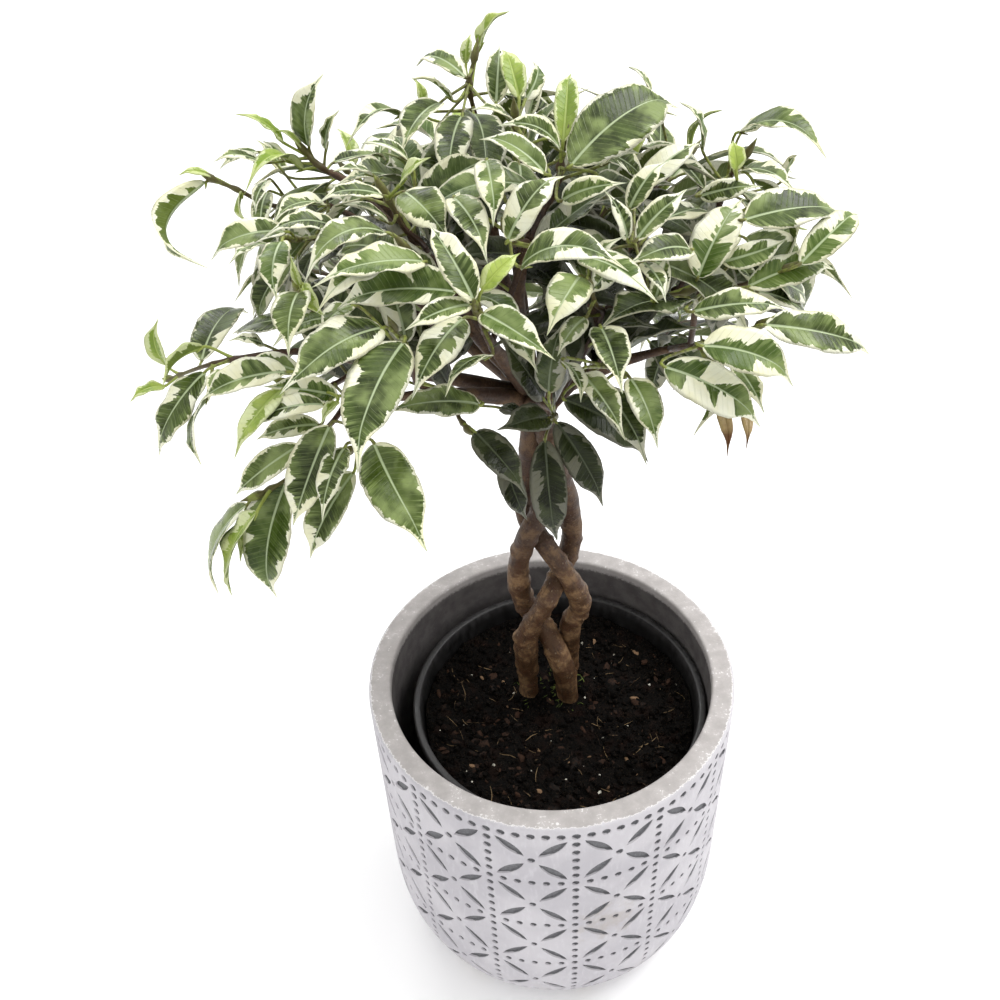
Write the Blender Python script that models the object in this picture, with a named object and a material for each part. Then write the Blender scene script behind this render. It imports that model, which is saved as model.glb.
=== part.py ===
"""Potted weeping fig: a small tree with a plaited trunk and cream-edged leaves, rooted in a
nursery pot that stands in a round cement cover pot.

Lengths in this script are millimetres and become metres where a mesh is made. The origin is
the centre of the cover pot's foot on the floor, with +Z up and +X to the right of the
photograph, which looks along +Y and down. Places in the tree are read off the photograph, in
its 1000 by 1000 pixels, and set in depth by how far back they lie, or by the share of the
crown's dome that they lie at.
"""

import math
from collections import namedtuple
from itertools import product

import bpy
import numpy as np
from mathutils.bvhtree import BVHTree
from mathutils.geometry import delaunay_2d_cdt

MM = 0.001
SEED = 7

# Cover pot, turned about +Z
POT_HEIGHT = 150.0
POT_RADIUS = 75.0
POT_WALL = 9.1
POT_EDGE = 1.5
POT_FOOT_RADIUS = 60.0
POT_FLOOR = 18.0
POT_STRAIGHT = 96.0
POT_BEND_POWER = 3.0
POT_FOOT_HEIGHTS = (0.0, 5.0)
POT_INSIDE_INSETS = ((1.0, 54.0), (5.0, 28.0), (13.0, 18.0))

# Pattern on the cover pot's side, measured down its side from the rim: cells round it and down
# it, each with four sunk petals on its diagonals, which are widest near the rim
CELLS_ROUND = 14
CELLS_DOWN = 4
CELL_DROP = 31.4
PATTERN_TOP = 4.9
PATTERN_BEARING = -math.pi / 2 + math.radians(1.15)
PETAL_REACH = (3.6, 18.8)
PETAL_WIDTH = 3.0
RECESS_DEPTH = 1.0
RIM_WIDENING = (0.6, 35.0)
POT_SEGMENTS = 2 * CELLS_ROUND

# Nursery pot, which stands on the cover pot's floor
GAP = 0.3
NURSERY_CENTRE = (3.4, 0.0)
NURSERY_HEIGHT = 115.0
NURSERY_RIM_RADIUS = 61.5
NURSERY_FOOT_RADIUS = 45.0
NURSERY_WALL = 1.4
NURSERY_LIP = 1.6
NURSERY_LIP_HEIGHT = 4.0
NURSERY_SEGMENTS = 24
DRAIN_COUNT = 4
DRAIN_RADIUS = 4.0
DRAIN_RING = 30.0
DRAIN_SIDES = 6

# Soil, which fills the nursery pot to a little under its rim
SOIL_LEVEL = 123.0
SOIL_SWELL = 1.1
SOIL_RINGS = 3
SOIL_SEGMENTS = 24
STEM_SINK = 20.0

# Viewpoint of the photograph
EYE = np.array((-28.3, -291.3, 492.2))
AIM_ELEVATION = math.radians(-40.4)
AIM_AZIMUTH = math.radians(2.2)
AIM_ROLL = math.radians(-2.9)
FOCAL_PIXELS = 1078.0
PICTURE_MIDDLE = 500.0

# Dome that the crown's leaves fill
CROWN_CENTRE = np.array((-5.0, 5.0, 292.0))
CROWN_RADII = np.array((128.0, 112.0, 98.0))

# Leaves and the twigs that carry them
LEAF_LENGTH = (30.0, 44.0)
YOUNG_LENGTH = (14.0, 24.0)
LEAF_WIDTH_SHARE = 0.355
LEAF_STATIONS = (0.33, 0.78)
LEAF_FOLD = 0.12
LEAF_ARCH = 0.13
KEEL_DEPTH = (1.1, 0.6)
PETIOLE_LENGTH = 8.0
PETIOLE_RADIUS = 0.65
TWIG_RADIUS = 0.85
TWIG_SIDES = 4
CLEARANCE = 0.45


# Rules that place leaves: how far a seen one may shift and roll, how a grown one aims, and
# how far inside the crown an inner one stays
SEEN_PUSHES = (0.0, 2.5, -2.5, 5.0, -5.0, 8.0, -8.0, 12.0, -12.0, 16.0)
SEEN_ROLLS = (0.0, 18.0, -18.0, 36.0, -36.0)
SEEN_STRETCH = (1.04, 1.3)
SEEN_TIP_RISE = 0.1
PETIOLE_BEND = 0.3
BEND_COST = 30.0
GROWN_TRIES = 26
GROWN_STRAY = (0.16, 0.035)
GROWN_ALONG = 0.7
GROWN_ACROSS = 0.8
GROWN_OUT = 0.25
GROWN_DROOP = 0.35
YOUNG_ACROSS = 0.15
GROWN_SHARE = 0.96
INNER_TURN = 1.2
INNER_SHARE = 0.74
INNER_LOWEST_ROW = 340.0

UP = np.array((0.0, 0.0, 1.0))

BLADE = " blade"

Leaf = namedtuple("Leaf", "base axis side normal length width arch root young")
Spray = namedtuple("Spray", "twig seen extra")


def unit(vector):
    return vector / np.linalg.norm(vector)


def view_axes():
    """Forward, right and up of the photograph's viewpoint."""
    level = math.cos(AIM_ELEVATION)
    forward = np.array(
        (math.sin(AIM_AZIMUTH) * level, math.cos(AIM_AZIMUTH) * level, math.sin(AIM_ELEVATION))
    )
    right = unit(np.cross(forward, UP))
    above = np.cross(right, forward)
    turned_right = right * math.cos(AIM_ROLL) + above * math.sin(AIM_ROLL)
    return forward, turned_right, np.cross(turned_right, forward)


FORWARD, RIGHT, ABOVE = view_axes()


def sight(pixel):
    """Direction in which the photograph sees a pixel, given as (across, down)."""
    across, down = pixel[0] - PICTURE_MIDDLE, pixel[1] - PICTURE_MIDDLE
    return unit(FORWARD * FOCAL_PIXELS + RIGHT * across - ABOVE * down)


def pixel_row(point):
    """Row of the photograph's pixels at which a point shows."""
    ray = point - EYE
    return PICTURE_MIDDLE - FOCAL_PIXELS * (ray @ ABOVE) / (ray @ FORWARD)


def at_depth(pixel, depth):
    """Point that a pixel shows, on the upright plane y = depth."""
    line = sight(pixel)
    return EYE + line * (depth - EYE[1]) / line[1]


def on_dome(pixel, share=1.0):
    """Point that a pixel shows on the crown's dome, shrunk to a share of its size. Where the
    line of sight misses the dome, it is the point that comes nearest."""
    line = sight(pixel)
    start = (EYE - CROWN_CENTRE) / (CROWN_RADII * share)
    step = line / (CROWN_RADII * share)
    nearest = -start @ step / (step @ step)
    inside = nearest**2 - (start @ start - 1) / (step @ step)
    return EYE + line * (nearest - math.sqrt(max(inside, 0.0)))


def at_distance(pixel, centre, distance, near_to):
    """Point that a pixel shows, a distance from a centre. Of two such points it is the one
    nearer a third point, and where there is none, the one nearest the centre."""
    line = sight(pixel)
    foot = (centre - EYE) @ line
    gap = np.linalg.norm(EYE + line * foot - centre)
    reach = math.sqrt(max(distance**2 - gap**2, 0.0))
    sign = 1.0 if (near_to - EYE) @ line > foot else -1.0
    return EYE + line * (foot + sign * reach)


def smooth_route(points, steps):
    """Catmull-Rom curve through the points, with so many steps between each two."""
    points = np.array(points, float)
    padded = np.vstack((2 * points[0] - points[1], points, 2 * points[-1] - points[-2]))
    share = np.linspace(0, 1, steps, endpoint=False)[:, None]
    pieces = []
    for a, b, c, d in zip(padded, padded[1:], padded[2:], padded[3:]):
        cubic = share**3 * (3 * b - a - 3 * c + d) + share**2 * (2 * a - 5 * b + 4 * c - d)
        pieces.append(b + (cubic + share * (c - a)) / 2)
    return np.vstack(pieces + [points[-1:]])


def tangents_of(route):
    steps = np.gradient(route, axis=0)
    return steps / np.linalg.norm(steps, axis=1)[:, None]


def rings_round(route, radii, sides):
    """Rings of points square to a route, turning as little as they can along it."""
    tangents = tangents_of(route)
    side = unit(np.cross(tangents[0], (0.31, 0.42, 0.85)))
    across = []
    for tangent in tangents:
        side = unit(side - (side @ tangent) * tangent)
        across.append(side)
    across = np.array(across)[:, None]
    above = np.cross(tangents, across[:, 0])[:, None]
    angles = (np.arange(sides) * 2 * math.pi / sides)[:, None]
    rings = np.cos(angles) * across + np.sin(angles) * above
    return route[:, None] + rings * np.asarray(radii, float)[:, None, None]


def ring_faces(rings, sides, ends=True):
    """Triangles that join rings of points one after another, and close both ends."""
    faces = []
    for ring in range(rings - 1):
        for k in range(sides):
            a, b = ring * sides + k, ring * sides + (k + 1) % sides
            faces += [(a, b, b + sides), (a, b + sides, a + sides)]
    if ends:
        last = (rings - 1) * sides
        faces += [(0, k + 1, k) for k in range(1, sides - 1)]
        faces += [(last, last + k, last + k + 1) for k in range(1, sides - 1)]
    return faces


def bar(rings):
    """Closed bar through rings of points, as points and triangles."""
    return rings.reshape(-1, 3), ring_faces(len(rings), rings.shape[1])


def tube(route, radii, sides):
    """Closed round bar along a route, its radius running evenly between two values."""
    route = np.asarray(route, float)
    return bar(rings_round(route, np.linspace(*radii, len(route)), sides))


def make_material(name, colour, roughness):
    material = bpy.data.materials.new(name)
    material.use_nodes = True
    shader = material.node_tree.nodes["Principled BSDF"]
    shader.inputs["Base Color"].default_value = (*colour, 1.0)
    shader.inputs["Roughness"].default_value = roughness
    return material


def make_object(name, solid, material=None):
    """Object from points in millimetres and their faces."""
    points, faces = solid
    mesh = bpy.data.meshes.new(name)
    mesh.from_pydata((np.asarray(points) * MM).tolist(), [], faces)
    mesh.update()
    thing = bpy.data.objects.new(name, mesh)
    bpy.context.scene.collection.objects.link(thing)
    if material:
        mesh.materials.append(material)
    return thing


def combine(thing, others, operation):
    """Applies one Boolean of the other objects to a thing, and removes them."""
    group = bpy.data.collections.new("operands")
    bpy.context.scene.collection.children.link(group)
    for other in others:
        bpy.context.scene.collection.objects.unlink(other)
        group.objects.link(other)
    boolean = thing.modifiers.new("combine", "BOOLEAN")
    boolean.operand_type = "COLLECTION"
    boolean.collection = group
    boolean.operation = operation
    boolean.solver = "EXACT"
    bpy.context.view_layer.update()
    graph = bpy.context.evaluated_depsgraph_get()
    mesh = bpy.data.meshes.new_from_object(thing.evaluated_get(graph))
    thing.modifiers.clear()
    thing.data = mesh
    for other in others:
        bpy.data.objects.remove(other)
    bpy.data.collections.remove(group)


def make_fused(name, solids, material):
    """One object from closed solids that run into each other."""
    thing = make_object(name, solids[0], material)
    combine(thing, [make_object(name + "_piece", solid) for solid in solids[1:]], "UNION")
    return thing


def shade_smooth(thing, angle=40.0):
    thing.data.shade_smooth()
    thing.data.set_sharp_from_angle(angle=math.radians(angle))


def turned(profile, segments, centre=(0.0, 0.0), bearing=0.0, open_band=None):
    """Closed solid from a profile of (radius, height) turned about an upright axis. It runs
    from the axis at the bottom, up the outside, and back to the axis. A band between two of
    its rings may be left open."""
    angles = bearing + np.arange(segments) * 2 * math.pi / segments
    points = [(*centre, profile[0][1])]
    for radius, height in profile[1:-1]:
        across, along = centre[0] + radius * np.cos(angles), centre[1] + radius * np.sin(angles)
        points += zip(across, along, np.full(segments, height))
    points.append((*centre, profile[-1][1]))
    rings = len(profile) - 2
    faces = [(a + 1, b + 1, c + 1) for a, b, c in ring_faces(rings, segments, ends=False)]
    if open_band is not None:
        del faces[2 * segments * open_band : 2 * segments * (open_band + 1)]
    last, top = 1 + (rings - 1) * segments, len(points) - 1
    for k in range(segments):
        after = (k + 1) % segments
        faces += [(0, 1 + after, 1 + k), (top, last + k, last + after)]
    return points, faces


def pot_radius(drop):
    """Radius of the pot's side at a height below the rim: straight, then bending in."""
    share = np.maximum(drop - POT_STRAIGHT, 0) / (POT_HEIGHT - POT_STRAIGHT)
    return POT_RADIUS - (POT_RADIUS - POT_FOOT_RADIUS) * share**POT_BEND_POWER


def pot_side(arc):
    """Radius, height and outward normal of the pot's side at a distance down it."""
    drop = np.linspace(0, POT_HEIGHT, 1501)
    radius = pot_radius(drop)
    length = np.concatenate(([0], np.cumsum(np.hypot(np.diff(drop), np.diff(radius)))))
    steep = np.interp(arc, length, np.gradient(radius, drop))
    normal = np.stack((np.ones_like(steep), steep)) / np.hypot(1, steep)
    return np.interp(arc, length, radius), POT_HEIGHT - np.interp(arc, length, drop), normal


def pattern_cell(width, petal_width, bent):
    """One cell of the pattern laid flat: its points across and down from a corner, how far each
    is sunk, from 0 to 1, and its triangles. Each petal has a four-sided edge, and its middle is
    sunk. A bent cell also has points halfway down its sides."""
    rim = [(x, y) for x in (0.0, width / 2, width) for y in (0.0, CELL_DROP)]
    if bent:
        rim += [(0.0, CELL_DROP / 2), (width, CELL_DROP / 2)]
    points, sunk, edges = [np.array(rim)], [0.0] * len(rim), []
    centre = np.array((width, CELL_DROP)) / 2
    near, far = PETAL_REACH
    for right, down in product((1, -1), repeat=2):
        way = unit(centre * (right, down))
        side = np.array((-way[1], way[0])) * petal_width / 2
        middle = way * (near + far) / 2
        first = len(sunk)
        edges += [(first + k, first + (k + 1) % 4) for k in range(4)]
        points.append(centre + [way * near, middle + side, way * far, middle - side, middle])
        sunk += [0.0] * 4 + [1.0]
    flat = np.vstack(points).tolist()
    spots, _, faces, origins, _, _ = delaunay_2d_cdt(flat, edges, [], 0, 1e-6)
    return np.array(spots), np.array(sunk)[[origin[0] for origin in origins]], np.array(faces)


def pattern_band():
    """Points and triangles of the pot's side where it has its pattern. A point across and down
    a cell goes to the angle across / radius and as far down the side, sunk along its normal."""
    width = 2 * math.pi * POT_RADIUS / CELLS_ROUND
    points, faces, count = [], [], 0
    for row in range(CELLS_DOWN):
        middle = PATTERN_TOP + (row + 0.5) * CELL_DROP
        wider = 1 + RIM_WIDENING[0] * math.exp(-middle / RIM_WIDENING[1])
        spots, sunk, cell_faces = pattern_cell(width, PETAL_WIDTH * wider, row == CELLS_DOWN - 1)
        radius, height, normal = pot_side(PATTERN_TOP + row * CELL_DROP + spots[:, 1])
        radius = radius - normal[0] * sunk * RECESS_DEPTH
        height = height - normal[1] * sunk * RECESS_DEPTH
        for cell in range(CELLS_ROUND):
            angle = PATTERN_BEARING + (spots[:, 0] + cell * width) / POT_RADIUS
            points.append(np.stack((radius * np.cos(angle), radius * np.sin(angle), height), 1))
            faces.append(cell_faces[:, ::-1] + count)
            count += len(spots)
    return np.vstack(points), np.vstack(faces)


def welded(points, faces):
    """Points and triangles with the points that coincide made one."""
    keys = np.round(points, 4)
    _, first, number = np.unique(keys, axis=0, return_index=True, return_inverse=True)
    return points[first], number.ravel()[faces].tolist()


def build_planter():
    """Cement cover pot: straight above, rounded in towards its foot, with a flat rim and its
    pattern of sunk petals."""
    radius, height, _ = pot_side(PATTERN_TOP + np.array((CELLS_DOWN * CELL_DROP, 0.0)))
    profile = [(0.0, 0.0)]
    profile += [(float(pot_radius(POT_HEIGHT - z)), z) for z in POT_FOOT_HEIGHTS]
    profile += zip(radius, height)
    inner = POT_RADIUS - POT_WALL
    profile += [
        (POT_RADIUS, POT_HEIGHT - POT_EDGE),
        (POT_RADIUS - POT_EDGE, POT_HEIGHT),
        (inner + POT_EDGE, POT_HEIGHT),
        (inner, POT_HEIGHT - POT_EDGE),
    ]
    profile += [(inner - inset, height) for inset, height in POT_INSIDE_INSETS]
    profile.append((0.0, POT_FLOOR))
    points, faces = turned(profile, POT_SEGMENTS, bearing=PATTERN_BEARING,
                           open_band=len(POT_FOOT_HEIGHTS))
    band, band_faces = pattern_band()
    solid = welded(np.vstack((points, band)), np.vstack((faces, band_faces + len(points))))
    cement = make_material("whitewashed_cement", (0.66, 0.65, 0.67), 0.85)
    shade_smooth(make_object("planter", solid, cement))


def nursery_wall_radius(height):
    """Outer radius of the nursery pot's tapered wall at a height above the floor."""
    share = (height - POT_FLOOR - GAP) / NURSERY_HEIGHT
    top = NURSERY_RIM_RADIUS - NURSERY_LIP
    return NURSERY_FOOT_RADIUS + (top - NURSERY_FOOT_RADIUS) * share


def build_nursery_pot():
    """Thin tapered plastic pot with a turned-out lip and a ring of drainage holes."""
    foot = POT_FLOOR + GAP
    rim = foot + NURSERY_HEIGHT
    lip = rim - NURSERY_LIP_HEIGHT
    inside = foot + NURSERY_WALL
    profile = [
        (0.0, foot),
        (NURSERY_FOOT_RADIUS, foot),
        (nursery_wall_radius(lip), lip),
        (NURSERY_RIM_RADIUS, lip),
        (NURSERY_RIM_RADIUS, rim),
        (nursery_wall_radius(rim) - NURSERY_WALL, rim),
        (nursery_wall_radius(inside) - NURSERY_WALL, inside),
        (0.0, inside),
    ]
    plastic = make_material("dark_plastic", (0.035, 0.035, 0.037), 0.5)
    pot = make_object("nursery_pot", turned(profile, NURSERY_SEGMENTS, NURSERY_CENTRE), plastic)
    drains = []
    for k in range(DRAIN_COUNT):
        angle = 2 * math.pi * k / DRAIN_COUNT
        across = NURSERY_CENTRE[0] + DRAIN_RING * math.cos(angle)
        along = NURSERY_CENTRE[1] + DRAIN_RING * math.sin(angle)
        ends = [(across, along, foot - NURSERY_WALL), (across, along, inside + NURSERY_WALL)]
        drains.append(make_object("drain", tube(ends, (DRAIN_RADIUS,) * 2, DRAIN_SIDES)))
    combine(pot, drains, "DIFFERENCE")
    shade_smooth(pot)


def soil_height(across, along):
    """Height of the soil, gently uneven."""
    waves = np.sin(across / 9.0 + 1.0) * np.cos(along / 11.0)
    return SOIL_LEVEL + SOIL_SWELL * (waves + 0.5 * np.sin((across + along) / 5.0)) / 1.5


def build_soil():
    """Soil that fills the nursery pot, with a plain hole round each stem."""
    bottom = POT_FLOOR + GAP + NURSERY_WALL + GAP
    inset = NURSERY_WALL + GAP
    low, high = nursery_wall_radius(bottom) - inset, nursery_wall_radius(SOIL_LEVEL) - inset - GAP
    profile = [(0.0, bottom), (low, bottom)]
    profile += [(high * (SOIL_RINGS - ring) / SOIL_RINGS, SOIL_LEVEL) for ring in range(SOIL_RINGS)]
    profile.append((0.0, SOIL_LEVEL))
    points, faces = turned(profile, SOIL_SEGMENTS, NURSERY_CENTRE)
    points = np.array(points)
    top = points[:, 2] > SOIL_LEVEL - 1.0
    points[top, 2] = soil_height(points[top, 0], points[top, 1])
    earth = make_material("potting_soil", (0.028, 0.02, 0.016), 0.95)
    soil = make_object("soil", (points, faces), earth)
    holes = []
    for foot in STEM_FEET:
        ends = [(*foot, SOIL_LEVEL - STEM_SINK - GAP), (*foot, SOIL_LEVEL + STEM_SINK)]
        holes.append(make_object("hole", tube(ends, (STEM_RADII[0] + GAP,) * 2, STEM_SIDES)))
    combine(soil, holes, "DIFFERENCE")
    shade_smooth(soil)


# The three stems of the plait, from the soil up: pixel across, pixel down and depth
STEM_ROUTES = (
    ((527, 668, 11), (528, 634, 5), (546, 600, 1), (561, 570, 9), (572, 538, 12), (569, 505, 8),
     (557, 470, 3), (546, 430, 4), (540, 402, 8)),
    ((562, 666, 4), (545, 628, 10), (525, 602, 14), (518, 572, 8), (526, 540, 1), (541, 510, 2),
     (549, 478, 8), (546, 440, 11), (537, 402, 11)),
    ((569, 658, 17), (571, 624, 11), (580, 603, 8), (568, 576, 2), (548, 548, 4), (532, 525, 10),
     (523, 497, 12), (529, 455, 10), (533, 402, 6)),
)
STEM_FEET = ((-8.0, 12.5), (8.5, 7.5), (8.0, 17.0))
STEM_RADII = (4.9, 4.0)
STEM_SIDES = 6

# The main branches, from the head of the trunk out: pixel across, pixel down and depth
BRANCH_ROUTES = (
    ((530, 395, 8), (470, 382, 0), (400, 368, -12), (335, 355, -20), (292, 351, -22)),
    ((525, 398, 6), (475, 395, -12), (425, 395, -30), (385, 398, -42)),
    ((528, 385, 8), (478, 335, 2), (430, 262, 2), (385, 205, 4), (330, 172, 10)),
    ((525, 388, 4), (500, 355, -18), (484, 332, -36)),
    ((532, 385, 8), (518, 300, 6), (530, 238, 10), (556, 190, 16)),
    ((530, 380, 12), (500, 270, 24), (485, 180, 34), (480, 140, 40)),
    ((540, 398, 8), (600, 369, 0), (648, 354, -8), (690, 345, -12)),
    ((540, 388, 10), (592, 325, 8), (650, 300, 2), (697, 282, 0), (712, 225, 6), (724, 190, 8)),
    ((592, 325, 8), (620, 270, 16), (645, 210, 22), (655, 185, 26)),
    ((532, 402, 2), (545, 404, -12), (552, 409, -24)),
    ((540, 385, 14), (580, 300, 45), (630, 230, 70)),
    ((532, 385, 16), (520, 290, 50), (510, 215, 80)),
    ((525, 388, 14), (440, 320, 42), (370, 255, 66)),
)
BRANCH_RADII = (3.6, 1.7)
BRANCH_SIDES = 4
SPUR_RADIUS = 1.6
FORK_SETBACK = 0.2


def seen(base, tip, share=0.86, roll=0.0, arch=LEAF_ARCH, wide=1.0, young=False):
    """A leaf that the photograph shows, by the pixels of its blade's two ends. The base lies
    at a share of the dome; roll turns the blade about its length, in degrees."""
    return dict(base=base, tip=tip, share=share, roll=roll, arch=arch, wide=wide, young=young)


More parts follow.
